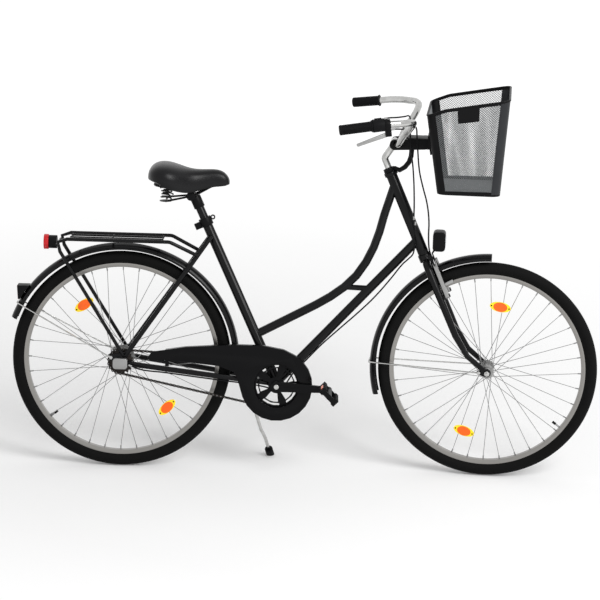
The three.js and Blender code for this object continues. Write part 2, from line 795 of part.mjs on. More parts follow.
function rimWithValve(valveAngle) {
  const outer = vec(Math.cos(valveAngle), 0, Math.sin(valveAngle)).multiplyScalar(RIM_INNER_RADIUS + GAP);
  const inner = outer.clone().multiplyScalar((RIM_INNER_RADIUS - VALVE_LENGTH) / RIM_INNER_RADIUS);
  const seat = outer.clone().multiplyScalar((RIM_INNER_RADIUS + RIM_BED_RADIUS) / (2 * RIM_INNER_RADIUS));
  return join([ring(rimProfile(), WHEEL_SEGMENTS), bar(seat, inner, VALVE_RADIUS, 6)]);
}

// The two ends of a spoke: in the hub's flange and at the rim
function spokeEnds(index, flange, offset) {
  const side = index % 2 ? 1 : -1;
  const lead = Math.floor(index / 2) % 2 ? 1 : -1;
  const rimAngle = (2 * Math.PI * index) / SPOKE_COUNT;
  const hubAngle = rimAngle + lead * SPOKE_CROSS;
  const reach = flange - SPOKE_INSET;
  const tip = RIM_INNER_RADIUS - GAP - SPOKE_RADIUS / 2;
  const inFlange = side * (offset + HUB_FLANGE_THICKNESS / 2 + lead * SPOKE_SPREAD);
  const inRim = side * (SPOKE_RIM_OFFSET + lead * SPOKE_SPREAD);
  return [
    vec(reach * Math.cos(hubAngle), inFlange, reach * Math.sin(hubAngle)),
    vec(tip * Math.cos(rimAngle), inRim, tip * Math.sin(rimAngle)),
  ];
}

function hubWithSpokes(body, flange, offset, end, right, left) {
  const face = offset + HUB_FLANGE_THICKNESS;
  const profile = [
    [AXLE_BORE, -right],
    [end, -right],
    [end, -face],
    [flange, -face],
    [flange, -offset],
    [body, -offset],
    [body, offset],
    [flange, offset],
    [flange, face],
    [end, face],
    [end, left],
    [AXLE_BORE, left],
  ];
  const pieces = [ring(profile, 12)];
  for (let i = 0; i < SPOKE_COUNT; i += 1) {
    pieces.push(tube(spokeEnds(i, flange, offset), SPOKE_RADIUS * Math.SQRT2, 3));
  }
  return join(pieces);
}

// A reflector lies on the outer side of the spokes on the right that pass behind it
function wheelReflector(parent, name, angle, flangeOffset, flangeRadius) {
  const ends = spokeEnds(0, flangeRadius, flangeOffset);
  const fall = (ends[1].length() - REFLECTOR_PLACE_RADIUS) / ends[0].distanceTo(ends[1]);
  const place = vec(Math.cos(angle), 0, Math.sin(angle)).multiplyScalar(REFLECTOR_PLACE_RADIUS);
  let away = 0;
  for (let i = 0; i < SPOKE_COUNT; i += 2) {
    const [hub, rim] = spokeEnds(i, flangeRadius, flangeOffset);
    const spoke = rim.clone().lerp(hub, fall);
    const out = -spoke.y;
    if (spoke.setY(0).distanceTo(place) < REFLECTOR_LENGTH / 2) {
      away = Math.max(away, out);
    }
  }
  const end = REFLECTOR_LENGTH / 2 - REFLECTOR_HEIGHT / 2;
  const outline = arcPoints(REFLECTOR_HEIGHT / 2, -Math.PI / 2, Math.PI / 2, 6, end);
  outline.push(...arcPoints(REFLECTOR_HEIGHT / 2, Math.PI / 2, (3 * Math.PI) / 2, 6, -end));
  const solid = plate(outline, 0, -REFLECTOR_THICKNESS);
  solid.rotateX(-Math.atan((ends[1].y - ends[0].y) / (ends[1].length() - ends[0].length())));
  solid.translate(0, -away - SPOKE_RADIUS - GAP, REFLECTOR_PLACE_RADIUS);
  solid.rotateY(Math.PI / 2 - angle);
  addMesh(parent, name, solid, 'amber');
}

function buildWheel(parent, place, name, valveAngle, reflectorAngles, hub) {
  const wheel = addGroup(parent, place.x, place.y, place.z);
  addMesh(wheel, `${name}_tyre`, ring(tyreProfile(), WHEEL_SEGMENTS), 'rubber');
  addMesh(wheel, `${name}_rim`, rimWithValve(valveAngle), 'rim');
  addMesh(wheel, `${name}_hub_spokes`, hubWithSpokes(...hub), 'spoke');
  reflectorAngles.forEach((angle, index) => {
    wheelReflector(wheel, `${name}_wheel_reflector_${index + 1}`, angle, hub[2], hub[1]);
  });
  return wheel;
}

buildWheel(bike, rearAxle, 'rear', REAR_VALVE_ANGLE, REAR_REFLECTOR_ANGLES, [
  REAR_HUB_RADIUS,
  REAR_FLANGE_RADIUS,
  REAR_FLANGE_OFFSET,
  REAR_HUB_END_RADIUS,
  REAR_HUB_RIGHT_END,
  REAR_HUB_LEFT_END,
]);
buildWheel(steering, vec(FORK_RAKE, 0, 0), 'front', FRONT_VALVE_ANGLE, FRONT_REFLECTOR_ANGLES, [
  FRONT_HUB_RADIUS,
  FRONT_FLANGE_RADIUS,
  FRONT_FLANGE_OFFSET,
  FRONT_HUB_RADIUS,
  FRONT_HUB_END,
  FRONT_HUB_END,
]);

// Settles the bicycle on both tyres: the turned and leaning front wheel stands a hair lower or higher
function settle() {
  const lowest = {};
  root.updateMatrixWorld(true);
  root.traverse((part) => {
    if (part.isMesh) {
      lowest[part.name] = new THREE.Box3().setFromObject(part, true).min.z;
    }
  });
  bike.rotation.y += Math.asin((lowest.front_tyre - lowest.rear_tyre) / WHEELBASE);
  bike.position.z -= lowest.rear_tyre;
}

settle();
settle();
root.updateMatrixWorld(true);

// A wheel's axle with its locknuts and outer nuts
function wheelAxle(spacing, thickness, innerLeft, innerRight) {
  const half = spacing / 2;
  const outer = half + thickness + GAP;
  const end = outer + NUT_HEIGHT + AXLE_STUB;
  const pieces = [disc(AXLE_RADIUS, -end, end, 8)];
  for (const [side, inner] of [[1, innerLeft], [-1, innerRight]]) {
    pieces.push(disc(LOCKNUT_RADIUS, side * (inner + GAP), side * (half - GAP), 8));
    pieces.push(disc(NUT_RADIUS, side * outer, side * (outer + NUT_HEIGHT), 6));
  }
  return join(pieces);
}

// Toothed wheels and the chain
function pitchRadius(teeth) {
  return CHAIN_PITCH / (2 * Math.sin(Math.PI / teeth));
}

function toothedOutline(teeth) {
  const pitch = (2 * Math.PI) / teeth;
  const tip = pitchRadius(teeth) + TOOTH_ABOVE_PITCH;
  const base = pitchRadius(teeth) - TOOTH_BELOW_PITCH;
  const points = [];
  for (let i = 0; i < teeth; i += 1) {
    const middle = i * pitch;
    for (const [radius, turn] of [[tip, -TOOTH_TIP_SHARE], [tip, TOOTH_TIP_SHARE], [base, 1]]) {
      const angle = middle + (turn * pitch) / 2;
      points.push(new THREE.Vector2(radius * Math.cos(angle), radius * Math.sin(angle)));
    }
  }
  return points;
}

function beltOutline(extra, steps) {
  const near = pitchRadius(SPROCKET_TEETH) + extra;
  const far = pitchRadius(CHAINRING_TEETH) + extra;
  const dx = bottomBracket.x - rearAxle.x;
  const dz = bottomBracket.z - rearAxle.z;
  const line = Math.atan2(dz, dx);
  const wrap = Math.asin((far - near) / Math.hypot(dx, dz));
  const spread = (radius) => radius / Math.cos((Math.PI / 2) / steps);
  const front = [line - Math.PI / 2 - wrap, line + Math.PI / 2 + wrap];
  const back = [line + Math.PI / 2 + wrap, line + (3 * Math.PI) / 2 - wrap];
  return [
    ...arcPoints(spread(far), front[0], front[1], steps, bottomBracket.x, bottomBracket.z),
    ...arcPoints(spread(near), back[0], back[1], steps, rearAxle.x, rearAxle.z),
  ];
}

function chainGeometry() {
  const half = CHAIN_WIDTH / 2;
  const loop = plate(
    beltOutline(CHAIN_HEIGHT / 2, 14),
    -CHAIN_LINE - half,
    -CHAIN_LINE + half,
    [beltOutline(-CHAIN_HEIGHT / 2, 14)],
  );
  const grooveTop = CHAIN_HEIGHT / 2 - CHAIN_WEB;
  const groove = plate(
    beltOutline(grooveTop, 14),
    -CHAIN_LINE - CHAIN_GROOVE / 2,
    -CHAIN_LINE + CHAIN_GROOVE / 2,
  );
  return join([loop], [groove]);
}

addMesh(bike, 'chain', chainGeometry(), 'chain');

// Frame
function frameTubes() {
  const swanHead = onSteering(SWAN_HEAD_JOINT);
  const swanSeat = onSeatTube(SWAN_SEAT_JOINT);
  const swan = [swanHead];
  for (const [back, down] of SWAN_SHARES) {
    swan.push(vec(
      swanHead.x + (swanSeat.x - swanHead.x) * back,
      0,
      swanHead.z + (swanSeat.z - swanHead.z) * down,
    ));
  }
  swan.push(swanSeat);
  const swanPoints = smooth(swan, 13);
  const downHead = onSteering(DOWN_TUBE_HEAD_JOINT);
  const bridgeTop = swanPoints[Math.round(BRIDGE_SHARE_SWAN * (swanPoints.length - 1))];
  const bridgeFoot = downHead.clone().lerp(bottomBracket, BRIDGE_SHARE_DOWN);
  return {
    swan: tube(swanPoints, SWAN_TUBE_RADIUS, 8),
    down: tube([downHead, bottomBracket], DOWN_TUBE_RADIUS, 8),
    bridge: tube([bridgeTop, bridgeFoot], BRIDGE_RADIUS, 6),
  };
}

function mainFrame() {
  const { swan, down, bridge } = frameTubes();
  const shellHalf = SHELL_WIDTH / 2;
  const pieces = [
    tube([onSteering(HEAD_TUBE_BOTTOM), onSteering(HEAD_TUBE_TOP)], HEAD_TUBE_RADIUS, 12),
    swan,
    down,
    bridge,
    tube([bottomBracket, onSeatTube(SEAT_TUBE_LENGTH)], SEAT_TUBE_RADIUS, 12),
    disc(SHELL_RADIUS, -shellHalf, shellHalf, 14).translate(bottomBracket.x, 0, bottomBracket.z),
    ...standMount(),
  ];
  const headBore = bar(
    onSteering(HEAD_TUBE_BOTTOM - CUT_OVERRUN),
    onSteering(HEAD_TUBE_TOP + CUT_OVERRUN),
    HEAD_TUBE_BORE,
  );
  const seatBore = bar(
    onSeatTube(SEAT_TUBE_LENGTH - POST_INSERTION - SEAT_LOWERING - CUT_OVERRUN),
    onSeatTube(SEAT_TUBE_LENGTH + CUT_OVERRUN),
    POST_RADIUS + GAP,
    16,
  );
  const shellBore = disc(
    (SPINDLE_RADIUS + RUNNING_GAP) / Math.cos(Math.PI / 16),
    -shellHalf - CUT_OVERRUN,
    shellHalf + CUT_OVERRUN,
    16,
  ).translate(bottomBracket.x, 0, bottomBracket.z);
  return join(pieces, [headBore, seatBore, shellBore]);
}

// What carries the side stand: a plate behind the bottom bracket, a block and its pin
const standPivot = vec(bottomBracket.x - STAND_BACK, STAND_OFFSET, bottomBracket.z - STAND_DROP);

function standMount() {
  const back = standPivot.x - STAND_BLOCK_LENGTH / 2;
  const shellBack = bottomBracket.x - SHELL_RADIUS + STAND_PLATE_THICKNESS;
  const plateMiddle = bottomBracket.z + STAND_PLATE_RISE;
  const low = standPivot.z - STAND_BLOCK_HEIGHT / 2;
  const high = plateMiddle + STAND_PLATE_THICKNESS / 2;
  const inner = standPivot.y - STAND_EYE_WIDTH / 2 - GAP;
  const pinEnd = standPivot.y + STAND_EYE_WIDTH / 2 + GAP;
  return [
    box(shellBack - back, STAND_PLATE_WIDTH, STAND_PLATE_THICKNESS, (shellBack + back) / 2, 0, plateMiddle),
    box(STAND_BLOCK_LENGTH, STAND_PLATE_WIDTH, high - low, standPivot.x, 0, (high + low) / 2),
    box(STAND_BLOCK_LENGTH, inner, STAND_BLOCK_HEIGHT, standPivot.x, inner / 2, standPivot.z),
    disc(STAND_PIN_RADIUS, inner - STAND_PLATE_THICKNESS, pinEnd + STAND_PIN_HEAD, 10)
      .translate(standPivot.x, 0, standPivot.z),
    disc(STAND_EYE_RADIUS - GAP, pinEnd, pinEnd + STAND_PIN_HEAD, 10)
      .translate(standPivot.x, 0, standPivot.z),
  ];
}

addMesh(bike, 'main_frame', mainFrame(), 'paint');

const dropoutMiddle = (REAR_DROPOUT_SPACING + DROPOUT_THICKNESS) / 2;
const dropoutFace = REAR_DROPOUT_SPACING / 2 + DROPOUT_THICKNESS;

function chainstayPath(side) {
  const shellEdge = SHELL_WIDTH / 2 - CHAINSTAY_RADIUS;
  return smooth([
    [0, shellEdge],
    [CHAINSTAY_START_SHARE, CHAINSTAY_START_OFFSET],
    [CHAINSTAY_BEND_SHARE, TYRE_CLEAR_OFFSET],
    [1 - STAY_END_SHARE, dropoutMiddle],
  ].map(([share, out]) => bottomBracket.clone().lerp(rearAxle, share).setY(side * out)), 6);
}

function seatstayPath(side) {
  const top = onSeatTube(SEATSTAY_JOINT, 0, side * SEATSTAY_TOP_OFFSET);
  const bend = onSeatTube(SEATSTAY_JOINT).lerp(rearAxle, SEATSTAY_BEND_SHARE);
  bend.y = side * TYRE_CLEAR_OFFSET;
  const foot = rearAxle.clone().lerp(onSeatTube(SEATSTAY_JOINT), STAY_END_SHARE);
  foot.y = side * dropoutMiddle;
  return [top, bend, foot];
}

// The point of a path at a distance from the rear axle, seen from the side
function atAxleDistance(path, distance) {
  const [, bend, foot] = path;
  const far = Math.hypot(bend.x, bend.z - rearAxle.z);
  const near = Math.hypot(foot.x, foot.z - rearAxle.z);
  return foot.clone().lerp(bend, (distance - near) / (far - near));
}

// The eyelets at the axle that carry the carrier's leg and the mudguard's stay, as circles round the axle
const carrierEyelet = [CARRIER_FOOT_FORWARD, CARRIER_FOOT_RISE, EYELET_RADIUS];
const rearStayEyelet = [
  REAR_EYELET_DISTANCE * Math.cos(REAR_STAY_ANGLE),
  REAR_EYELET_DISTANCE * Math.sin(REAR_STAY_ANGLE),
  EYELET_RADIUS,
];

// Where a stay meets the dropout, as a circle round the axle
function stayEnd(path, radius) {
  const end = path.at(-1).clone().sub(rearAxle).setLength(DROPOUT_REACH);
  return [end.x, end.z, radius];
}

function rearStay(side) {
  const inner = side * (REAR_DROPOUT_SPACING / 2);
  const outer = side * dropoutFace;
  const dropout = plate(stretched([
    [0, 0, DROPOUT_RADIUS],
    stayEnd(chainstayPath(side), CHAINSTAY_RADIUS),
    stayEnd(seatstayPath(side), SEATSTAY_RADIUS),
    carrierEyelet,
    rearStayEyelet,
  ]), inner, outer);
  dropout.translate(rearAxle.x, 0, rearAxle.z);
  const pieces = [
    tube(chainstayPath(side), CHAINSTAY_RADIUS),
    tube(seatstayPath(side), SEATSTAY_RADIUS),
    dropout,
  ];
  if (side > 0) {
    const foot = seatstayPath(1).at(-1).sub(rearAxle);
    const crown = crownRadius(Math.atan2(foot.z, foot.x), REAR_MUDGUARD_TAIL, REAR_MUDGUARD_FRONT);
    const bridge = crown + GAP + STAY_BRIDGE_RADIUS;
    const left = atAxleDistance(seatstayPath(1), bridge);
    const right = atAxleDistance(seatstayPath(-1), bridge);
    right.y += SEATSTAY_RADIUS + GAP;
    pieces.push(tube([left, right], STAY_BRIDGE_RADIUS, 8));
  }
  const seatCut = bar(bottomBracket, onSeatTube(SEAT_TUBE_LENGTH), SEAT_TUBE_RADIUS + GAP, 14);
  const shellCut = disc(
    (SHELL_RADIUS + GAP) / Math.cos(Math.PI / 16),
    -SHELL_WIDTH,
    SHELL_WIDTH,
    16,
  ).translate(bottomBracket.x, 0, bottomBracket.z);
  const axleCut = disc(AXLE_BORE, -REAR_DROPOUT_SPACING, REAR_DROPOUT_SPACING, 12)
    .translate(rearAxle.x, 0, rearAxle.z);
  const relief = disc(DROPOUT_RELIEF, outer, 2 * outer, 14).translate(rearAxle.x, 0, rearAxle.z);
  return join(pieces, [seatCut, shellCut, axleCut, relief]);
}

addMesh(bike, 'rear_stay_right', rearStay(-1), 'paint');
addMesh(bike, 'rear_stay_left', rearStay(1), 'paint');

// What sits round the rear axle
const rearEnd = addGroup(bike, rearAxle.x, 0, rearAxle.z);
const rearNut = REAR_DROPOUT_SPACING / 2 + DROPOUT_THICKNESS + GAP + NUT_HEIGHT + AXLE_STUB;

function gearBox() {
  const start = dropoutFace + GEAR_BOX_GAP;
  const end = start + GEAR_BOX_DEPTH;
  const x = GEAR_BOX_LENGTH / 2 - GEAR_BOX_CORNER;
  const z = GEAR_BOX_HEIGHT / 2 - GEAR_BOX_CORNER;
  const corners = [[x, z], [-x, z], [-x, -z], [x, -z]];
  const outline = stretched(corners.map(([cx, cz]) => [cx, cz, GEAR_BOX_CORNER]));
  const nut = (NUT_RADIUS + GAP) / Math.cos(Math.PI / 12);
  const pocket = disc(nut, -start + CUT_OVERRUN, -rearNut - RUNNING_GAP, 12);
  return join([plate(outline, -start, -end)], [pocket]);
}

function sprocket() {
  const half = SPROCKET_THICKNESS / 2;
  const inner = REAR_HUB_RIGHT_END + RUNNING_GAP;
  const outer = REAR_HUB_RIGHT_END + DRIVER_LENGTH;
  const driver = disc(DRIVER_RADIUS, -inner, -outer, 14);
  const bore = disc(AXLE_BORE, -inner + CUT_OVERRUN, -outer - CUT_OVERRUN, 12);
  const toothed = plate(toothedOutline(SPROCKET_TEETH), -CHAIN_LINE - half, -CHAIN_LINE + half);
  return join([toothed, driver], [bore]);
}

addMesh(
  rearEnd,
  'rear_axle',
  wheelAxle(REAR_DROPOUT_SPACING, DROPOUT_THICKNESS, REAR_HUB_LEFT_END, REAR_HUB_RIGHT_END + DRIVER_LENGTH),
  'alloy',
);
addMesh(rearEnd, 'hub_gear_box', gearBox(), 'alloy');
addMesh(addGroup(rearEnd, 0, 0, 0), 'rear_sprocket', sprocket(), 'chain');

// Mudguards and their wire stays, both round an axle
function mudguardSteps(tail, front) {
  return Math.round((tail - front) / MUDGUARD_STEP);
}

// How far the middle of a mudguard's crown lies from its axle; it is flat from ring to ring
function crownRadius(angle, tail, front) {
  const step = (tail - front) / mudguardSteps(tail, front);
  const middle = front + (Math.floor((angle - front) / step) + 0.5) * step;
  return (MUDGUARD_RADIUS * Math.cos(step / 2)) / Math.cos(angle - middle);
}

function mudguard(tail, front) {
  const steps = mudguardSteps(tail, front);
  const path = arcPoints(MUDGUARD_RADIUS, front, tail, steps).map((spot) => vec(spot.x, 0, spot.y));
  const half = MUDGUARD_WIDTH / 2;
  const flat = Math.cos(Math.PI / 2 / (MUDGUARD_ARC_POINTS - 1));
  const bow = (width, depth) => arcPoints(1, 0, Math.PI, MUDGUARD_ARC_POINTS - 1).map((spot) => (
    new THREE.Vector2(width * spot.x, (depth * spot.y) / flat - MUDGUARD_DEPTH)
  ));
  const outer = bow(half, MUDGUARD_DEPTH);
  const inner = bow(half - MUDGUARD_THICKNESS, MUDGUARD_DEPTH - MUDGUARD_THICKNESS);
  return alongPath(path, outer.concat(inner.reverse()));
}

function mudguardStay(angle, crown, eyelet, face) {
  const along = vec(Math.cos(angle), 0, Math.sin(angle));
  const over = crown + GAP + STAY_RADIUS;
  const beside = MUDGUARD_WIDTH / 2 + STAY_RADIUS + RUNNING_GAP;
  const out = face + GAP + STAY_RADIUS;
  const corners = [];
  for (const side of [-1, 1]) {
    const foot = vec(eyelet[0], side * out, eyelet[1]);
    const past = foot.clone().addScaledVector(along, 2 * EYELET_RADIUS);
    const top = along.clone().multiplyScalar(over).setY(side * beside);
    corners.push(...(side < 0 ? [foot, past, top] : [top, past, foot]));
  }
  const pieces = [tube(rounded(corners, STAY_BEND, 3), STAY_RADIUS, 6)];
  for (const side of [-1, 1]) {
    const eye = disc(STAY_EYE_RADIUS, side * (face + GAP), side * (face + GAP + 2 * STAY_RADIUS), 8);
    pieces.push(eye.translate(eyelet[0], 0, eyelet[1]));
  }
  return join(pieces);
}

addMesh(rearEnd, 'rear_mudguard', mudguard(REAR_MUDGUARD_TAIL, REAR_MUDGUARD_FRONT), 'paint');
const rearStayCrown = crownRadius(REAR_STAY_ANGLE, REAR_MUDGUARD_TAIL, REAR_MUDGUARD_FRONT);
const rearStayWire = mudguardStay(REAR_STAY_ANGLE, rearStayCrown, rearStayEyelet, dropoutFace);
addMesh(rearEnd, 'rear_mudguard_stay', rearStayWire, 'chrome');

// The red reflector on the rear mudguard: a wedge whose face stands upright
function rearReflector() {
  const high = REAR_REFLECTOR_ANGLE - REAR_REFLECTOR_SPAN / 2;
  const low = REAR_REFLECTOR_ANGLE + REAR_REFLECTOR_SPAN / 2;
  const seat = arcPoints(1, low, high, 4).map((spot) => {
    const angle = Math.atan2(spot.y, spot.x);
    return spot.setLength(crownRadius(angle, REAR_MUDGUARD_TAIL, REAR_MUDGUARD_FRONT) + GAP);
  });
  const back = seat[0].x - REAR_REFLECTOR_DEPTH;
  const outline = [
    ...seat,
    new THREE.Vector2(back, seat.at(-1).y),
    new THREE.Vector2(back + REAR_REFLECTOR_SLANT, seat[0].y),
  ];
  return plate(outline, -REAR_REFLECTOR_SIZE / 2, REAR_REFLECTOR_SIZE / 2);
}

addMesh(rearEnd, 'rear_reflector', rearReflector(), 'red');

// Carrier and tail lamp
const carrierFoot = vec(
  rearAxle.x + CARRIER_FOOT_FORWARD,
  dropoutFace + GAP + CARRIER_RADIUS,
  rearAxle.z + CARRIER_FOOT_RISE,
);
const carrierTail = vec(CARRIER_REAR, CARRIER_WIDTH / 2, CARRIER_HEIGHT);

function carrierSide(side) {
  const seatstay = atAxleDistance(seatstayPath(1), CARRIER_FRONT_REACH);
  const corners = [
    vec(seatstay.x, seatstay.y + SEATSTAY_RADIUS + GAP + CARRIER_RADIUS, seatstay.z),
    vec(CARRIER_FRONT, CARRIER_WIDTH / 2, CARRIER_HEIGHT),
    carrierTail,
    carrierFoot,
  ];
  return rounded(corners.map((corner) => corner.clone().setY(corner.y * side)), CARRIER_BEND, 2);
}

const lampRod = carrierTail.clone().lerp(carrierFoot, LAMP_ROD_SHARE);

function carrier() {
  const pieces = [1, -1].map((side) => tube(carrierSide(side), CARRIER_RADIUS));
  const deck = CARRIER_HEIGHT - CARRIER_RADIUS + CARRIER_ROD_RADIUS;
  const rod = (x, z, half) => tube([vec(x, -half, z), vec(x, half, z)], CARRIER_ROD_RADIUS, 6);
  const half = CARRIER_WIDTH / 2;
  const length = CARRIER_FRONT - CARRIER_REAR;
  const crossings = CARRIER_CROSS_SHARES.map((share) => CARRIER_REAR + length * share);
  pieces.push(...crossings.map((x) => rod(x, deck, half)));
  pieces.push(rod(lampRod.x, lampRod.z, half));
  for (const side of [-1, 1]) {
    const y = (side * CARRIER_ROD_SPACING) / 2;
    const from = vec(crossings[0] - CARRIER_ROD_RADIUS, y, CARRIER_HEIGHT);
    const to = vec(crossings.at(-1) + CARRIER_ROD_RADIUS, y, CARRIER_HEIGHT);
    pieces.push(tube([from, to], CARRIER_ROD_RADIUS, 6));
  }
  return join(pieces);
}

addMesh(bike, 'carrier', carrier(), 'paint');

const tailLamp = addGroup(bike, lampRod.x - CARRIER_ROD_RADIUS - GAP, 0, lampRod.z);
tailLamp.rotation.z = Math.PI / 2;
addMesh(tailLamp, 'tail_lamp_body', disc(LAMP_RADIUS, 0, LAMP_BODY_LENGTH), 'plastic');
addMesh(
  tailLamp,
  'tail_lamp_lens',
  disc(LAMP_RADIUS + LAMP_LENS_LIP, LAMP_BODY_LENGTH + GAP, LAMP_BODY_LENGTH + GAP + LAMP_LENS_LENGTH),
  'red',
);

// Chain guard: a face outside the chain, with a rim turned in towards the frame
function guardOutline() {
  const at = (shares) => shares.map(([x, z]) => new THREE.Vector2(
    bottomBracket.x - GUARD_REACH * x,
    bottomBracket.z + GUARD_HEIGHT * z,
  ));
  const front = arcPoints(
    GUARD_DISC_RADIUS,
    GUARD_DISC_START,
    GUARD_DISC_END,
    GUARD_DISC_STEPS,
    bottomBracket.x,
    bottomBracket.z,
  );
  return [...front, ...at(GUARD_TOP_SHARES), ...at(GUARD_LOW_SHARES)];
}

function chainGuard() {
  const outline = guardOutline();
  const inner = GUARD_FACE - GUARD_DEPTH;
  const hollow = plate(drawnIn(outline, GUARD_WALL), -inner + CUT_OVERRUN, -GUARD_FACE + GUARD_WALL);
  const opening = disc(GUARD_OPENING_RADIUS, -inner, -GUARD_FACE - CUT_OVERRUN, 24)
    .translate(bottomBracket.x, 0, bottomBracket.z);
  const shell = join([plate(outline, -inner, -GUARD_FACE)], [hollow]);
  const rimDepth = GUARD_DEPTH - GUARD_WALL;
  const rimMiddle = -inner - rimDepth / 2;
  const tailEnd = bottomBracket.x - GUARD_REACH;
  const tailCut = box(
    2 * GUARD_TAIL_OPENING,
    rimDepth,
    2 * GUARD_HEIGHT,
    tailEnd,
    rimMiddle,
    bottomBracket.z + GUARD_HEIGHT,
  );
  const lowCut = box(
    GUARD_DISC_RADIUS,
    rimDepth,
    GUARD_DISC_RADIUS,
    bottomBracket.x - GUARD_DISC_RADIUS,
    rimMiddle,
    bottomBracket.z - GUARD_DISC_RADIUS / 2 + GUARD_LOW_OPENING,
  );
  const strutHeight = bottomBracket.clone().addScaledVector(upSeat, GUARD_STRUT_HEIGHT);
  const strut = tube([
    strutHeight.clone().setY(0),
    strutHeight.clone().setY(-GUARD_FACE + GUARD_WALL / 2),
  ], GUARD_STRUT_RADIUS, 8);
  const foot = plate([
    new THREE.Vector2(tailEnd + GUARD_TAIL_OPENING, rearAxle.z - CHAINSTAY_RADIUS),
    new THREE.Vector2(tailEnd + GUARD_TAIL_OPENING + GUARD_FOOT_WIDTH, rearAxle.z - CHAINSTAY_RADIUS),
    new THREE.Vector2(tailEnd + GUARD_TAIL_OPENING + GUARD_FOOT_WIDTH, rearAxle.z + GUARD_FOOT_HEIGHT),
    new THREE.Vector2(tailEnd + GUARD_TAIL_OPENING, rearAxle.z + GUARD_FOOT_HEIGHT),
  ], -GUARD_FACE + GUARD_WALL, -GUARD_FACE);
  return join([shell, strut, foot], [
    opening,
    tailCut,
    lowCut,
    bar(bottomBracket, onSeatTube(SEAT_TUBE_LENGTH), SEAT_TUBE_RADIUS + GAP, 14),
    tube(chainstayPath(-1), (CHAINSTAY_RADIUS + GAP) / Math.cos(Math.PI / 8)),
  ]);
}

addMesh(bike, 'chain_guard', chainGuard(), 'plastic');

// Cranks, chainring and pedals turn about the bottom bracket
const cranks = addGroup(bike, bottomBracket.x, 0, bottomBracket.z);
const crankBore = (SPINDLE_RADIUS + GAP) / Math.cos(Math.PI / 12);
const pedalInner = CRANK_OFFSET + CRANK_THICKNESS + PEDAL_GAP;

// One opening between two spider arms, from one radius to another
function sector(inner, outer, middle, spread) {
  return [
    ...arcPoints(outer, middle - spread / 2, middle + spread / 2, 3),
    ...arcPoints(inner, middle + spread / 2, middle - spread / 2, 2),
  ];
}

function chainringGeometry() {
  const half = CHAINRING_THICKNESS / 2;
  const arm = (2 * Math.PI) / CHAINRING_ARMS;
  const openings = [];
  for (let i = 0; i < CHAINRING_ARMS; i += 1) {
    const middle = CRANK_ANGLE + (i + 0.5) * arm;
    const window = arm * CHAINRING_WINDOW_SHARE;
    const slot = arm * CHAINRING_SLOT_SHARE;
    openings.push(sector(CHAINRING_WINDOW_INNER, CHAINRING_WINDOW_OUTER, middle, window));
    openings.push(sector(CHAINRING_SLOT_INNER, CHAINRING_SLOT_OUTER, middle, slot));
  }
  const toothed = plate(toothedOutline(CHAINRING_TEETH), -CHAIN_LINE - half, -CHAIN_LINE + half, openings);
  const boss = disc(CRANK_BOSS_RADIUS, -SHELL_WIDTH / 2 - RUNNING_GAP, -CRANK_OFFSET + GAP, 14);
  const bore = disc(crankBore, 0, -CRANK_OFFSET - CUT_OVERRUN, 12);
  return join([toothed, boss], [bore]);
}

function crankTip(side) {
  const angle = side < 0 ? -CRANK_ANGLE : Math.PI - CRANK_ANGLE;
  return vec(CRANK_LENGTH * Math.cos(angle), 0, CRANK_LENGTH * Math.sin(angle));
}

function crank(side) {
  const tip = crankTip(side);
  const outer = CRANK_OFFSET + CRANK_THICKNESS;
  const tipRadius = (CRANK_WIDTH / 2) * CRANK_TIP_SHARE;
  const outline = stretched([[0, 0, CRANK_BOSS_RADIUS], [tip.x, tip.z, tipRadius]], 14);
  const axleEnd = pedalInner + PEDAL_LENGTH - PEDAL_BAR;
  const axle = disc(PEDAL_AXLE_RADIUS, side * CRANK_OFFSET, side * axleEnd, 10);
  const bore = disc(crankBore, side * (CRANK_OFFSET - CUT_OVERRUN), side * (outer + CUT_OVERRUN), 12);
  const arm = plate(outline, side * CRANK_OFFSET, side * outer);
  return join([arm, axle.translate(tip.x, 0, tip.z)], [bore]);
}

function pedal(side) {
  const start = side * pedalInner;
  const end = side * (pedalInner + PEDAL_LENGTH);
  const middle = (start + end) / 2;
  const cross = (PEDAL_DEPTH - PEDAL_BAR) / 2;
  const cage = PEDAL_HEIGHT * PEDAL_CAGE_SHARE;
  const inner = pedalInner + PEDAL_CAGE_THICKNESS / 2;
  const outer = pedalInner + PEDAL_LENGTH - PEDAL_CAGE_THICKNESS / 2;
  const pieces = [
    disc(PEDAL_TUBE_RADIUS, start, end, 10),
    box(PEDAL_BAR, PEDAL_LENGTH, PEDAL_HEIGHT, cross, middle, 0),
    box(PEDAL_BAR, PEDAL_LENGTH, PEDAL_HEIGHT, -cross, middle, 0),
    box(PEDAL_DEPTH - PEDAL_BAR, PEDAL_CAGE_THICKNESS, cage, 0, side * inner, 0),
    box(PEDAL_DEPTH - PEDAL_BAR, PEDAL_CAGE_THICKNESS, cage, 0, side * outer, 0),
  ];
  const bore = disc((PEDAL_AXLE_RADIUS + RUNNING_GAP) / Math.cos(Math.PI / 10), 0, 2 * end, 10);
  return join(pieces, [bore]);
}

const spindleHalf = SPINDLE_LENGTH / 2;
addMesh(cranks, 'crank_spindle', disc(SPINDLE_RADIUS, -spindleHalf, spindleHalf, 12), 'chrome');
addMesh(cranks, 'chainring', chainringGeometry(), 'plastic');
for (const [name, side, tilt] of [['right', -1, PEDAL_TILT], ['left', 1, 0]]) {
  addMesh(cranks, `crank_${name}`, crank(side), 'plastic');
  const tip = crankTip(side);
  const spin = addGroup(cranks, tip.x, 0, tip.z);
  spin.rotation.y = tilt;
  addMesh(spin, `pedal_${name}`, pedal(side), 'plastic');
}

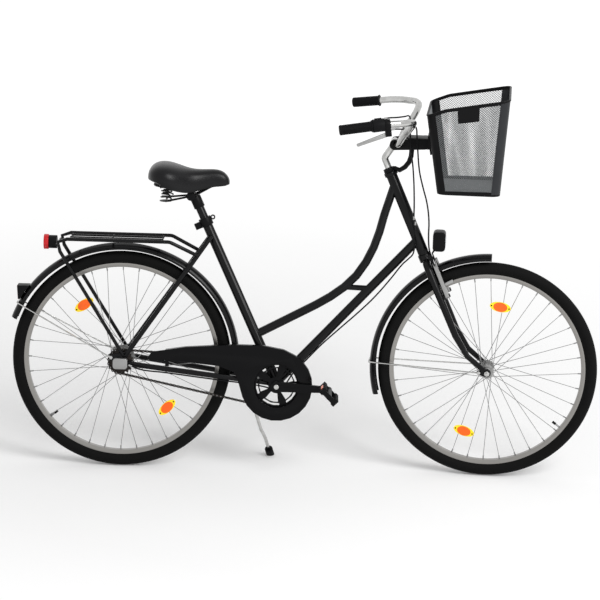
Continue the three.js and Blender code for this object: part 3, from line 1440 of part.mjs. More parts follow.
// Side stand: a bent leg in its eye, and a rubber foot cut flat on the ground
const stand = addGroup(bike, standPivot.x, 0, standPivot.z);
const standFoot = vec(STAND_FOOT_FORWARD, STAND_FOOT_OUT, STAND_FOOT_OUT * Math.tan(LEAN) - standPivot.z);
const standCorners = [
  vec(0, STAND_OFFSET, 0),
  vec(STAND_KNEE_FORWARD, STAND_KNEE_OUT, STAND_KNEE_HEIGHT - standPivot.z),
  vec(STAND_BEND_FORWARD, STAND_BEND_OUT, STAND_BEND_HEIGHT - standPivot.z),
  vec(STAND_FLARE_FORWARD, STAND_FLARE_OUT, STAND_FLARE_HEIGHT - standPivot.z),
  standFoot,
];

function standLeg() {
  const tip = standCorners[3].clone().lerp(standFoot, STAND_TIP_SHARE);
  const leg = tube(standCorners.slice(0, 4).concat([tip]), STAND_LEG_RADIUS, 10);
  const half = STAND_EYE_WIDTH / 2;
  const eye = disc(STAND_EYE_RADIUS, STAND_OFFSET - half, STAND_OFFSET + half, 14);
  const hole = disc((STAND_PIN_RADIUS + GAP) / Math.cos(Math.PI / 10), 0, 2 * STAND_OFFSET, 10);
  return join([leg, eye], [hole]);
}

function standRubber() {
  const lowest = standCorners[3];
  const start = lowest.clone().lerp(standFoot, STAND_RUBBER_SHARE);
  const beyond = lowest.clone().lerp(standFoot, STAND_PAST_SHARE);
  const ground = box(STAND_FOOT_OUT, STAND_FOOT_OUT, STAND_FOOT_OUT, 0, 0, -STAND_FOOT_OUT / 2);
  root.updateMatrixWorld(true);
  const place = standFoot.clone().applyMatrix4(stand.matrixWorld);
  ground.translate(place.x, place.y, 0).applyMatrix4(stand.matrixWorld.clone().invert());
  const bottom = lowest.clone().lerp(standFoot, STAND_TIP_SHARE + STAND_TIP_CLEAR_SHARE);
  const pocket = bar(lowest, bottom, STAND_LEG_RADIUS + GAP, 10);
  return join([tube([start, beyond], STAND_FOOT_RADIUS, 12)], [pocket, ground]);
}

addMesh(stand, 'kickstand_leg', standLeg(), 'chrome');
addMesh(stand, 'kickstand_foot', standRubber(), 'rubber');

// Headset cup, seat collar, seat post and saddle
const cupTop = HEAD_TUBE_TOP + HEADSET_HEIGHT;
addMesh(bike, 'headset_cup', join([
  bar(onSteering(HEAD_TUBE_TOP + GAP), onSteering(cupTop), HEADSET_RADIUS, 14),
], [
  bar(onSteering(HEAD_TUBE_TOP - CUT_OVERRUN), onSteering(cupTop + CUT_OVERRUN), HEAD_TUBE_BORE),
]), 'plastic');

const seatBase = addGroup(bike, bottomBracket.x, 0, bottomBracket.z);
seatBase.rotation.y = SEAT_ANGLE - Math.PI / 2;
const seat = addGroup(seatBase, 0, 0, 0);

function seatCollar() {
  const outer = SEAT_TUBE_RADIUS + COLLAR_WALL;
  const low = SEAT_TUBE_LENGTH - COLLAR_HEIGHT / 2;
  const high = SEAT_TUBE_LENGTH + COLLAR_HEIGHT / 2;
  const eyeForward = outer + COLLAR_EYE_RADIUS - COLLAR_WALL / 2;
  const eyeHeight = high - COLLAR_EYE_RADIUS;
  const eye = (radius, half) => disc(radius, -half, half, 10).translate(eyeForward, 0, eyeHeight);
  const lug = box(
    COLLAR_LUG_LENGTH + COLLAR_WALL,
    COLLAR_LUG_WIDTH,
    COLLAR_LUG_HEIGHT,
    -outer - COLLAR_LUG_LENGTH / 2 + COLLAR_WALL / 2,
    0,
    low + COLLAR_LUG_HEIGHT / 2,
  );
  return join([
    bar(vec(0, 0, low), vec(0, 0, high), outer, 14),
    lug,
    eye(COLLAR_EYE_RADIUS, COLLAR_EYE_WIDTH / 2),
  ], [
    bar(vec(0, 0, low - CUT_OVERRUN), vec(0, 0, SEAT_TUBE_LENGTH + GAP), SEAT_TUBE_RADIUS + GAP, 14),
    bar(vec(0, 0, SEAT_TUBE_LENGTH), vec(0, 0, high + CUT_OVERRUN), POST_RADIUS + GAP, 16),
    eye(COLLAR_EYE_HOLE, COLLAR_EYE_WIDTH),
  ]);
}

addMesh(seatBase, 'seat_clamp', seatCollar(), 'plastic');
addMesh(
  seat,
  'seat_post',
  tube([vec(0, 0, SEAT_TUBE_LENGTH - POST_INSERTION), vec(0, 0, POST_TOP)], POST_RADIUS, 16),
  'paint',
);

// The saddle stands level; its places are measured from the middle of the clamp on the post
const saddle = addGroup(seat, -CLAMP_SETBACK, 0, POST_TOP + CLAMP_RISE);
saddle.rotation.y = Math.PI / 2 - SEAT_ANGLE;
const springFoot = -SPRING_DROP;
const baseLow = springFoot + GAP + SPRING_HEIGHT + GAP;
const baseHigh = baseLow + SADDLE_BASE_THICKNESS;
const saddleTail = CLAMP_TO_SADDLE_TAIL;

function railPath(side) {
  const noseHeight = baseLow - GAP - RAIL_RADIUS;
  return rounded([
    vec(-SPRING_PLACE, (side * SPRING_SPACING) / 2, springFoot - RAIL_RADIUS),
    vec(-CLAMP_RADIUS, (side * RAIL_SPACING) / 2, -RAIL_RADIUS),
    vec(CLAMP_RADIUS, (side * RAIL_SPACING) / 2, RAIL_RADIUS),
    vec(NOSE_MOUNT_FORWARD, (side * NOSE_MOUNT_WIDTH) / 2, noseHeight),
  ], CLAMP_RADIUS / 2, 2);
}

function saddleRails() {
  const foot = -SPRING_PLACE;
  const nose = railPath(1).at(-1);
  const halfNose = NOSE_MOUNT_WIDTH / 2 + RAIL_RADIUS;
  const pieces = [1, -1].map((side) => tube(railPath(side), RAIL_RADIUS, 6));
  pieces.push(tube([vec(nose.x, -halfNose, nose.z), vec(nose.x, halfNose, nose.z)], RAIL_RADIUS, 6));
  for (const side of [-1, 1]) {
    const y = (side * SPRING_SPACING) / 2;
    const seatDisc = disc(SPRING_RADIUS + SPRING_WIRE, -SPRING_SEAT_THICKNESS, 0, 10).rotateX(Math.PI / 2);
    pieces.push(seatDisc.translate(foot, y, springFoot));
  }
  const halfFoot = SPRING_SPACING / 2;
  const crossHeight = springFoot - RAIL_RADIUS;
  pieces.push(tube([vec(foot, -halfFoot, crossHeight), vec(foot, halfFoot, crossHeight)], RAIL_RADIUS, 6));
  return join(pieces);
}

function saddleClamp() {
  const half = CLAMP_LENGTH / 2;
  const up = vec(-Math.cos(SEAT_ANGLE), 0, Math.sin(SEAT_ANGLE));
  const ahead = vec(Math.sin(SEAT_ANGLE), 0, Math.cos(SEAT_ANGLE));
  const onPost = (height) => (
    up.clone().multiplyScalar(height - CLAMP_RISE).addScaledVector(ahead, CLAMP_SETBACK)
  );
  const sleeve = bar(onPost(-SLEEVE_LENGTH), onPost(SLEEVE_TOP), POST_RADIUS + SLEEVE_WALL, 14);
  const post = bar(onPost(-2 * SLEEVE_LENGTH), onPost(GAP), POST_RADIUS + GAP, 16);
  const groove = (RAIL_RADIUS + GAP) / Math.cos(Math.PI / 6);
  const rails = [1, -1].map((side) => tube(railPath(side), groove, 6));
  return join([disc(CLAMP_RADIUS, -half, half, 14), sleeve], [post, ...rails]);
}

function springPath() {
  const steps = Math.round(SPRING_TURNS * SPRING_STEPS);
  const straight = 2 * SPRING_WIRE;
  const points = [vec(SPRING_RADIUS, 0, 0)];
  for (let i = 0; i <= steps; i += 1) {
    const share = i / steps;
    const angle = 2 * Math.PI * SPRING_TURNS * share;
    const radius = SPRING_RADIUS * (1 - (1 - SPRING_WAIST_SHARE) * Math.sin(Math.PI * share));
    const height = straight + (SPRING_HEIGHT - 2 * straight) * share;
    points.push(vec(radius * Math.cos(angle), radius * Math.sin(angle), height));
  }
  points.push(points.at(-1).clone().setZ(SPRING_HEIGHT));
  return points;
}

// The least clear distance between turns of a wound tube, measured on points along it
function leastGap(path, radius) {
  const line = new THREE.CatmullRomCurve3(path).getSpacedPoints(path.length * 4);
  const step = line[0].distanceTo(line[1]);
  const apart = Math.ceil((Math.PI * SPRING_RADIUS * SPRING_WAIST_SHARE) / step);
  let least = Infinity;
  for (let i = 0; i < line.length; i += 1) {
    for (let j = i + apart; j < line.length; j += 1) {
      least = Math.min(least, line[i].distanceTo(line[j]) - 2 * radius);
    }
  }
  return least;
}

function saddleOutline(share) {
  const half = SADDLE_WIDTH / 2;
  const right = SADDLE_SHARES.map(([along, width]) => new THREE.Vector2(
    saddleTail + SADDLE_LENGTH * (0.5 + (along - 0.5) * share),
    -half * width * share,
  ));
  const left = right.map((point) => new THREE.Vector2(point.x, -point.y)).reverse();
  return right.concat(left);
}

function saddlePad() {
  const half = SADDLE_WIDTH / 2;
  const rings = SADDLE_SHARES.map(([along, width, top, skirt]) => {
    const x = saddleTail + SADDLE_LENGTH * along;
    const low = SADDLE_LOW + SADDLE_HEIGHT * skirt;
    const high = SADDLE_LOW + SADDLE_HEIGHT * top;
    const left = PAD_SECTION_SHARES.map(([out, up]) => vec(x, half * width * out, low + (high - low) * up));
    const right = left.map((point) => vec(x, -point.y, point.z)).reverse();
    return left.concat(right);
  });
  const pocket = slab(saddleOutline(SADDLE_POCKET_SHARE), -SADDLE_HEIGHT, baseHigh + GAP);
  return join([loft(rings)], [pocket]);
}

addMesh(saddle, 'saddle_clamp', saddleClamp(), 'plastic');
addMesh(saddle, 'saddle_rails', saddleRails(), 'paint');
for (const [name, side] of [['right', -1], ['left', 1]]) {
  const spring = addGroup(saddle, -SPRING_PLACE, (side * SPRING_SPACING) / 2, springFoot + GAP);
  addMesh(spring, `saddle_spring_${name}`, tube(springPath(), SPRING_WIRE, 5), 'paint');
}
console.log(`Saddle spring: least gap to itself ${leastGap(springPath(), SPRING_WIRE).toFixed(2)} mm`);
addMesh(saddle, 'saddle_base', slab(saddleOutline(SADDLE_BASE_SHARE), baseLow, baseHigh), 'plastic');
addMesh(saddle, 'saddle_pad', saddlePad(), 'vinyl');

// Fork, measured up the steering axis and ahead of it
function forkBlade(side) {
  const places = [
    vec(0, side * CROWN_INSET, CROWN_HEIGHT),
    vec(0, side * CROWN_SHOULDER, CROWN_HEIGHT - CROWN_SHOULDER_DROP),
    vec(0, side * BLADE_OFFSET, CROWN_HEIGHT - CROWN_DROP),
    vec(0, side * BLADE_LOW_OFFSET, BLADE_BEND_HEIGHT),
    vec(FORK_RAKE * BLADE_BEND_SHARE, side * BLADE_END_OFFSET, BLADE_BEND_HEIGHT / 2),
    vec(FORK_RAKE, side * BLADE_END_OFFSET, 0),
  ];
  const radii = BLADE_TAPER_SHARES.map((share) => BLADE_RADIUS * share);
  return taperedTube(places, radii);
}

const frontStayEyelet = [
  FRONT_EYELET_DISTANCE * Math.cos(FRONT_STAY_ANGLE - (Math.PI / 2 - HEAD_ANGLE)),
  FRONT_EYELET_DISTANCE * Math.sin(FRONT_STAY_ANGLE - (Math.PI / 2 - HEAD_ANGLE)),
  EYELET_RADIUS,
];
const frontDropoutFace = FRONT_DROPOUT_SPACING / 2 + FORK_END_THICKNESS;
const brakeArmEnd = BRAKE_ARM_FRONT + BRAKE_ARM_THICKNESS;

function fork() {
  const steerer = tube([vec(0, 0, CROWN_HEIGHT), vec(0, 0, STEERER_TOP)], STEERER_RADIUS, 12);
  const race = tube([vec(0, 0, CROWN_HEIGHT), vec(0, 0, HEAD_TUBE_BOTTOM - GAP)], HEADSET_RADIUS, 12);
  const pieces = [steerer, race];
  const cuts = [];
  for (const side of [-1, 1]) {
    pieces.push(forkBlade(side));
    const end = plate(
      stretched([[0, 0, FORK_END_RADIUS], frontStayEyelet]),
      (side * FRONT_DROPOUT_SPACING) / 2,
      side * frontDropoutFace,
    );
    pieces.push(end.translate(FORK_RAKE, 0, 0));
    const y = side * BRAKE_PIVOT_OFFSET;
    const low = BRAKE_PIVOT_HEIGHT;
    const cap = brakeArmEnd + GAP;
    pieces.push(tube([vec(0, y, low), vec(cap + BRAKE_CAP_THICKNESS, y, low)], BRAKE_PIVOT_RADIUS, 8));
    pieces.push(tube([vec(0, y, low), vec(BRAKE_ARM_FRONT - GAP, y, low)], BRAKE_BOSS_RADIUS, 8));
    pieces.push(tube([vec(cap, y, low), vec(cap + BRAKE_CAP_THICKNESS, y, low)], BRAKE_CAP_RADIUS, 8));
    const inner = (side * FRONT_DROPOUT_SPACING) / 2;
    cuts.push(disc(BLADE_END_CUT, 0, inner, 10).translate(FORK_RAKE, 0, 0));
    cuts.push(disc(AXLE_BORE, 0, side * 2 * frontDropoutFace, 12).translate(FORK_RAKE, 0, 0));
    const outside = side * frontDropoutFace;
    cuts.push(disc(BLADE_END_CUT, outside, 2 * outside, 10).translate(FORK_RAKE, 0, 0));
  }
  const tongueReach = FORK_RAKE - TONGUE_LENGTH / 2;
  const tongueAngle = Math.acos(-tongueReach / MUDGUARD_RADIUS) + Math.PI / 2 - HEAD_ANGLE;
  const tongueCrown = crownRadius(tongueAngle, FRONT_MUDGUARD_TAIL, FRONT_MUDGUARD_FRONT) + GAP;
  const tongueLow = Math.sqrt(tongueCrown ** 2 - tongueReach ** 2);
  pieces.push(box(
    TONGUE_LENGTH,
    TONGUE_WIDTH,
    CROWN_HEIGHT - tongueLow,
    0,
    0,
    (CROWN_HEIGHT + tongueLow) / 2,
  ));
  const crown = vec(0, 0, CROWN_HEIGHT);
  pieces.push(tube([crown, crown.clone().setX(CROWN_BOLT_LENGTH)], CROWN_BOLT_RADIUS, 8));
  return join(pieces, cuts);
}

addMesh(steering, 'fork', fork(), 'paint');
const frontEnd = addGroup(steering, FORK_RAKE, 0, 0);
addMesh(
  frontEnd,
  'front_axle',
  wheelAxle(FRONT_DROPOUT_SPACING, FORK_END_THICKNESS, FRONT_HUB_END, FRONT_HUB_END),
  'alloy',
);
const levelled = addGroup(frontEnd, 0, 0, 0);
levelled.rotation.y = Math.PI / 2 - HEAD_ANGLE;
addMesh(levelled, 'front_mudguard', mudguard(FRONT_MUDGUARD_TAIL, FRONT_MUDGUARD_FRONT), 'paint');
const levelEyelet = [
  FRONT_EYELET_DISTANCE * Math.cos(FRONT_STAY_ANGLE),
  FRONT_EYELET_DISTANCE * Math.sin(FRONT_STAY_ANGLE),
];
const frontStayCrown = crownRadius(FRONT_STAY_ANGLE, FRONT_MUDGUARD_TAIL, FRONT_MUDGUARD_FRONT);
const frontStayWire = mudguardStay(FRONT_STAY_ANGLE, frontStayCrown, levelEyelet, frontDropoutFace);
addMesh(levelled, 'front_mudguard_stay', frontStayWire, 'chrome');

// Handlebar and stem, level at the clamp
function handlebarPath() {
  const half = [vec(0, CLAMP_WIDTH / 2, 0)];
  for (const [reach, out, rise] of BAR_SHARES) {
    half.push(vec(BAR_REACH * reach, BAR_HALF_WIDTH * out, BAR_RISE * rise));
  }
  const start = vec(-GRIP_START_BACK, GRIP_START_OUT, BAR_RISE - GAP);
  const end = vec(-BAR_SWEEP, BAR_HALF_WIDTH, BAR_RISE - GRIP_END_DROP);
  const left = smooth([...half, start], 10).concat([end]);
  const right = left.map((point) => vec(point.x, -point.y, point.z)).reverse();
  return right.concat(left);
}

const barPath = handlebarPath();
const barCutter = tube(barPath, BAR_RADIUS + GAP / Math.cos(Math.PI / 8), 8);
addMesh(bars, 'handlebar', tube(barPath, BAR_RADIUS, 8), 'chrome');

// A place measured from the steering axis, in the level frame of the bars
function levelPlace(ahead, up) {
  const forward = ahead - CLAMP_FORWARD;
  const rise = up - CLAMP_HEIGHT;
  return vec(
    forward * Math.sin(HEAD_ANGLE) - rise * Math.cos(HEAD_ANGLE),
    0,
    forward * Math.cos(HEAD_ANGLE) + rise * Math.sin(HEAD_ANGLE),
  );
}

function stem() {
  const half = CLAMP_WIDTH / 2;
  const neck = rounded([
    levelPlace(0, STEERER_TOP + GAP),
    levelPlace(0, STEM_KNEE),
    vec(0, 0, 0),
  ], STEM_RADIUS, 3);
  return join([
    tube(neck, STEM_RADIUS, 10),
    disc(BAR_RADIUS + GAP + CLAMP_WALL, -half, half, 14),
  ], [barCutter]);
}

addMesh(bars, 'stem', stem(), 'chrome');

// Each hand's fittings lie along its grip: Y runs out along it, Z stands up from it
function gripFrame(side) {
  const start = vec(-GRIP_START_BACK, side * GRIP_START_OUT, BAR_RISE - GAP);
  const end = vec(-BAR_SWEEP, side * BAR_HALF_WIDTH, BAR_RISE - GRIP_END_DROP);
  const along = end.clone().sub(start);
  const length = along.length();
  along.normalize();
  const across = along.clone().cross(vec(0, 0, 1)).normalize();
  const up = across.clone().cross(along);
  const frame = addGroup(bars, start.x, start.y, start.z);
  frame.quaternion.setFromRotationMatrix(new THREE.Matrix4().makeBasis(across, along, up));
  return { frame, length };
}

const barBore = (BAR_RADIUS + GAP) / Math.cos(Math.PI / 12);
const rightHand = gripFrame(-1);
const leftHand = gripFrame(1);

function grip(length, start) {
  const stop = length + GRIP_COLLAR;
  return join([
    disc(GRIP_RADIUS, start, stop, 12),
    disc(GRIP_COLLAR_RADIUS, start, start + GRIP_COLLAR, 12),
  ], [disc(barBore, start - CUT_OVERRUN, length + GAP, 12)]);
}

const shifterEnd = SHIFTER_START + SHIFTER_LENGTH;
addMesh(rightHand.frame, 'grip_right', grip(rightHand.length, shifterEnd + RUNNING_GAP), 'rubber');
const leftGripStart = leftHand.length + GRIP_COLLAR - GRIP_LENGTH;
addMesh(leftHand.frame, 'grip_left', grip(leftHand.length, leftGripStart), 'rubber');
addMesh(addGroup(rightHand.frame, 0, 0, 0), 'twist_shifter', join([
  disc(SHIFTER_RADIUS, SHIFTER_START, shifterEnd, 14),
  box(
    SHIFTER_RIB_WIDTH,
    SHIFTER_LENGTH * SHIFTER_RIB_SHARE,
    SHIFTER_RIB_HEIGHT,
    0,
    SHIFTER_START + SHIFTER_LENGTH / 2,
    SHIFTER_RADIUS,
  ),
], [disc((BAR_RADIUS + RUNNING_GAP) / Math.cos(Math.PI / 12), 0, 2 * shifterEnd, 12)]), 'plastic');

// The lever hangs under the grip from a clamp beside the shifter
function leverBracket() {
  const back = -LEVER_CLAMP_LENGTH + SHIFTER_START - RUNNING_GAP;
  const front = SHIFTER_START - RUNNING_GAP;
  const low = -LEVER_DROP - LEVER_PIVOT_RADIUS;
  const middle = (back + front) / 2;
  const width = LEVER_BODY_WIDTH + 2 * LEVER_CHEEK;
  const high = -BAR_RADIUS;
  const clamp = disc(LEVER_CLAMP_RADIUS, back, front, 14);
  const body = box(width, LEVER_CLAMP_LENGTH, high - low, 0, middle, (high + low) / 2);
  const slotTop = -LEVER_DROP + LEVER_PIVOT_RADIUS + RUNNING_GAP;
  const slot = box(
    LEVER_BODY_WIDTH,
    2 * LEVER_CLAMP_LENGTH,
    slotTop - low + CUT_OVERRUN,
    0,
    middle,
    (slotTop + low - CUT_OVERRUN) / 2,
  );
  const pin = tube([
    vec(-width / 2, middle, -LEVER_DROP),
    vec(width / 2, middle, -LEVER_DROP),
  ], LEVER_PIN_RADIUS, 8);
  const shell = join([clamp, body], [slot]);
  return join([shell, pin], [inFrame(barCutter, rightHand.frame)]);
}

// The same solid as seen from a group inside the bars
function inFrame(geometry, frame) {
  frame.updateMatrix();
  return geometry.clone().applyMatrix4(frame.matrix.clone().invert());
}

const leverPivotAlong = SHIFTER_START - RUNNING_GAP - LEVER_CLAMP_LENGTH / 2;
const lever = addGroup(rightHand.frame, 0, leverPivotAlong, -LEVER_DROP);

function leverBlade() {
  const half = LEVER_BODY_WIDTH / 2 - RUNNING_GAP;
  const outline = stretched([
    [0, 0, LEVER_PIVOT_RADIUS],
    [LEVER_REACH, -LEVER_TIP_DROP, LEVER_THICKNESS / 2],
  ]);
  const blade = plate(outline, -half, half);
  const hole = disc((LEVER_PIN_RADIUS + RUNNING_GAP) / Math.cos(Math.PI / 8), -2 * half, 2 * half, 8);
  return join([blade], [hole]).rotateZ(Math.PI / 2);
}

addMesh(rightHand.frame, 'brake_lever_bracket', leverBracket(), 'plastic');
addMesh(lever, 'brake_lever', leverBlade(), 'alloy');

// Rim brake arms turn on the fork's bosses, each with its pad
function brakeArm(side) {
  const lean = side * BRAKE_ARM_LEAN;
  const depth = (BRAKE_ARM_FRONT + BRAKE_ARM_THICKNESS / 2);
  const arm = plate(
    stretched([[0, 0, BRAKE_BOSS_RADIUS], [-lean, BRAKE_ARM_LENGTH, BRAKE_ARM_WIDTH / 2]]),
    -BRAKE_ARM_FRONT,
    -brakeArmEnd,
  ).rotateZ(Math.PI / 2);
  const behind = FORK_RAKE - depth;
  const padRadius = (RIM_BED_RADIUS + RIM_RADIUS) / 2 - BRAKE_PAD_SINK;
  const padHeight = Math.sqrt(padRadius ** 2 - behind ** 2) - BRAKE_PIVOT_HEIGHT;
  const padMiddle = side * (RIM_WIDTH / 2 + BRAKE_PAD_GAP + BRAKE_PAD_THICKNESS / 2 - BRAKE_PIVOT_OFFSET);
  const pad = box(BRAKE_PAD_LENGTH, BRAKE_PAD_THICKNESS, BRAKE_PAD_HEIGHT, 0, 0, 0)
    .rotateY(-Math.asin(behind / padRadius))
    .translate(depth, padMiddle, padHeight);
  const stud = disc(BRAKE_PIVOT_RADIUS, padMiddle, 0, 8).translate(depth, 0, padHeight);
  const pieces = [arm, stud, pad];
  const cuts = [bar(vec(0, 0, 0), vec(2 * brakeArmEnd, 0, 0), BRAKE_PIVOT_RADIUS + RUNNING_GAP, 10)];
  const head = (along, height, radius) => (
    disc(radius, -side * BRAKE_ARM_LEAN, -side * along, 8).translate(depth, 0, height)
  );
  if (side > 0) {
    pieces.push(head(2 * BRAKE_PIVOT_OFFSET - BRAKE_WIRE_SHORT, BRAKE_ARM_LENGTH, BRAKE_WIRE_RADIUS));
  } else {
    cuts.push(box(
      BRAKE_WIRE_SLOT,
      2 * BRAKE_ARM_WIDTH,
      BRAKE_ARM_WIDTH,
      depth,
      BRAKE_ARM_LEAN,
      BRAKE_ARM_LENGTH,
    ));
  }
  return join(pieces, cuts);
}

for (const [name, side] of [['right', -1], ['left', 1]]) {
  const pivot = addGroup(steering, 0, side * BRAKE_PIVOT_OFFSET, BRAKE_PIVOT_HEIGHT);
  addMesh(pivot, `brake_arm_${name}`, brakeArm(side), 'alloy');
}

// Front lamp on a strap from the crown
function frontLamp() {
  const out = FRONT_LAMP_LENGTH / 2 - FRONT_LAMP_CORNER;
  const high = FRONT_LAMP_HEIGHT / 2 - FRONT_LAMP_CORNER;
  const outline = stretched([[-out, high], [out, high], [out, -high], [-out, -high]].map(([x, z]) => [
    x,
    z,
    FRONT_LAMP_CORNER,
  ]));
  const housing = plate(outline, -FRONT_LAMP_WIDTH / 2, FRONT_LAMP_WIDTH / 2)
    .rotateY(Math.PI / 2 - HEAD_ANGLE)
    .translate(FRONT_LAMP_FORWARD, 0, FRONT_LAMP_HEIGHT_ON_AXIS);
  const start = CROWN_BOLT_LENGTH + GAP;
  const low = CROWN_HEIGHT - CROWN_BOLT_RADIUS;
  const bend = FRONT_LAMP_HEIGHT_ON_AXIS - FRONT_LAMP_HEIGHT / 2;
  const strap = plate([
    new THREE.Vector2(start, low),
    new THREE.Vector2(start + LAMP_BRACKET_THICKNESS, low),
    new THREE.Vector2(start + LAMP_BRACKET_THICKNESS, bend),
    new THREE.Vector2(FRONT_LAMP_FORWARD, FRONT_LAMP_HEIGHT_ON_AXIS - FRONT_LAMP_CORNER),
    new THREE.Vector2(FRONT_LAMP_FORWARD, FRONT_LAMP_HEIGHT_ON_AXIS),
    new THREE.Vector2(start, bend + LAMP_BRACKET_THICKNESS),
  ], -LAMP_BRACKET_WIDTH / 2, LAMP_BRACKET_WIDTH / 2);
  return join([housing, strap]);
}

addMesh(steering, 'front_lamp', frontLamp(), 'plastic');

// Basket: flaring walls, an open top and a slanting rim
function basketRing(height, inset) {
  const share = (height - BASKET_BOTTOM) / (BASKET_FRONT_RIM - BASKET_BOTTOM);
  const back = BASKET_BOTTOM_BACK + (BASKET_TOP_BACK - BASKET_BOTTOM_BACK) * share + inset;
  const front = BASKET_BOTTOM_FRONT + (BASKET_TOP_FRONT - BASKET_BOTTOM_FRONT) * share - inset;
  const half = (BASKET_BOTTOM_WIDTH + (BASKET_WIDTH - BASKET_BOTTOM_WIDTH) * share) / 2 - inset;
  const radius = BASKET_CORNER - inset;
  const centres = [[front, half, 0], [back, half, 1], [back, -half, 2], [front, -half, 3]];
  return centres.flatMap(([x, y, turn]) => {
    const cx = x - Math.sign(x - (front + back) / 2) * radius;
    const cy = y - Math.sign(y) * radius;
    const arc = arcPoints(radius, (turn * Math.PI) / 2, ((turn + 1) * Math.PI) / 2, 3, cx, cy);
    return arc.map((spot) => vec(spot.x, spot.y, height));
  });
}

function basket() {
  const above = BASKET_FRONT_RIM + CUT_OVERRUN;
  const outer = loft([basketRing(BASKET_BOTTOM, 0), basketRing(above, 0)]);
  const inner = loft([
    basketRing(BASKET_BOTTOM + BASKET_WALL, BASKET_WALL),
    basketRing(above + CUT_OVERRUN, BASKET_WALL),
  ]);
  const side = BASKET_WIDTH;
  const overRim = plate([
    new THREE.Vector2(0, BASKET_BACK_RIM - BASKET_RIM_FALL),
    new THREE.Vector2(BASKET_TOP_BACK, BASKET_BACK_RIM),
    new THREE.Vector2(BASKET_KINK_FORWARD, BASKET_KINK_RIM),
    new THREE.Vector2(BASKET_TOP_FRONT, BASKET_FRONT_RIM),
    new THREE.Vector2(BASKET_TOP_FRONT + side, BASKET_FRONT_RIM),
    new THREE.Vector2(BASKET_TOP_FRONT + side, BASKET_FRONT_RIM + side),
    new THREE.Vector2(0, BASKET_FRONT_RIM + side),
  ], -side, side);
  return join([outer], [inner, overRim]);
}

addMesh(bars, 'basket', basket(), 'mesh');

// Basket bracket: two arms and a block from the handlebar to a plate, with a curved tube from the headset
const basketSlope = Math.atan(
  (BASKET_BOTTOM_BACK - BASKET_TOP_BACK) / (BASKET_FRONT_RIM - BASKET_BOTTOM),
);

function basketBack(height) {
  return BASKET_BOTTOM_BACK - (height - BASKET_BOTTOM) * Math.tan(basketSlope);
}

function basketBracket() {
  const middle = basketBack(BRACKET_PLATE_RISE);
  const back = middle - (BRACKET_PLATE_THICKNESS / 2 + GAP) / Math.cos(basketSlope);
  const pieces = [
    box(BRACKET_PLATE_THICKNESS, BRACKET_PLATE_WIDTH, BRACKET_PLATE_HEIGHT, 0, 0, 0)
      .rotateY(-basketSlope)
      .translate(back, 0, BRACKET_PLATE_RISE),
    box(
      back - BRACKET_BLOCK_START,
      BRACKET_WIDTH,
      BRACKET_BLOCK_HEIGHT,
      (back + BRACKET_BLOCK_START) / 2,
      0,
      BRACKET_PLATE_RISE,
    ),
  ];
  for (const side of [-1, 1]) {
    pieces.push(plate(
      stretched([
        [0, 0, BAR_RADIUS + GAP + CLAMP_WALL],
        [back - BRACKET_BLOCK_HEIGHT / 2, BRACKET_PLATE_RISE, BRACKET_BLOCK_HEIGHT / 2],
      ]),
      side * BRACKET_ARM_INNER,
      side * (BRACKET_ARM_INNER + BRACKET_ARM_WIDTH),
    ));
  }
  const low = SUPPORT_CLAMP_BASE;
  const high = SUPPORT_CLAMP_BASE + SUPPORT_CLAMP_HEIGHT;
  const wall = STEERER_RADIUS + RUNNING_GAP + SUPPORT_CLAMP_WALL;
  pieces.push(bar(levelPlace(0, low), levelPlace(0, high), wall, 12));
  pieces.push(tube(smooth([
    levelPlace(STEERER_RADIUS + SUPPORT_CLAMP_WALL / 2, (low + high) / 2),
    vec(SUPPORT_LOW_FORWARD, 0, SUPPORT_LOW_HEIGHT),
    vec(SUPPORT_BEND_FORWARD, 0, SUPPORT_BEND_HEIGHT),
    vec(SUPPORT_TOP_FORWARD, 0, SUPPORT_TOP_HEIGHT),
    vec(SUPPORT_TOP_FORWARD, 0, 0),
  ], 6), SUPPORT_RADIUS, 6));
  const steererCut = bar(
    levelPlace(0, low - CUT_OVERRUN),
    levelPlace(0, high + CUT_OVERRUN),
    STEERER_RADIUS + RUNNING_GAP,
  );
  const cupClear = (HEADSET_RADIUS + RUNNING_GAP) / Math.cos(Math.PI / 12);
  const cupCut = bar(levelPlace(0, STEERER_TOP / 2), levelPlace(0, cupTop + GAP), cupClear, 12);
  return join(pieces, [barCutter, steererCut, cupCut]);
}

addMesh(bars, 'basket_bracket', basketBracket(), 'plastic');

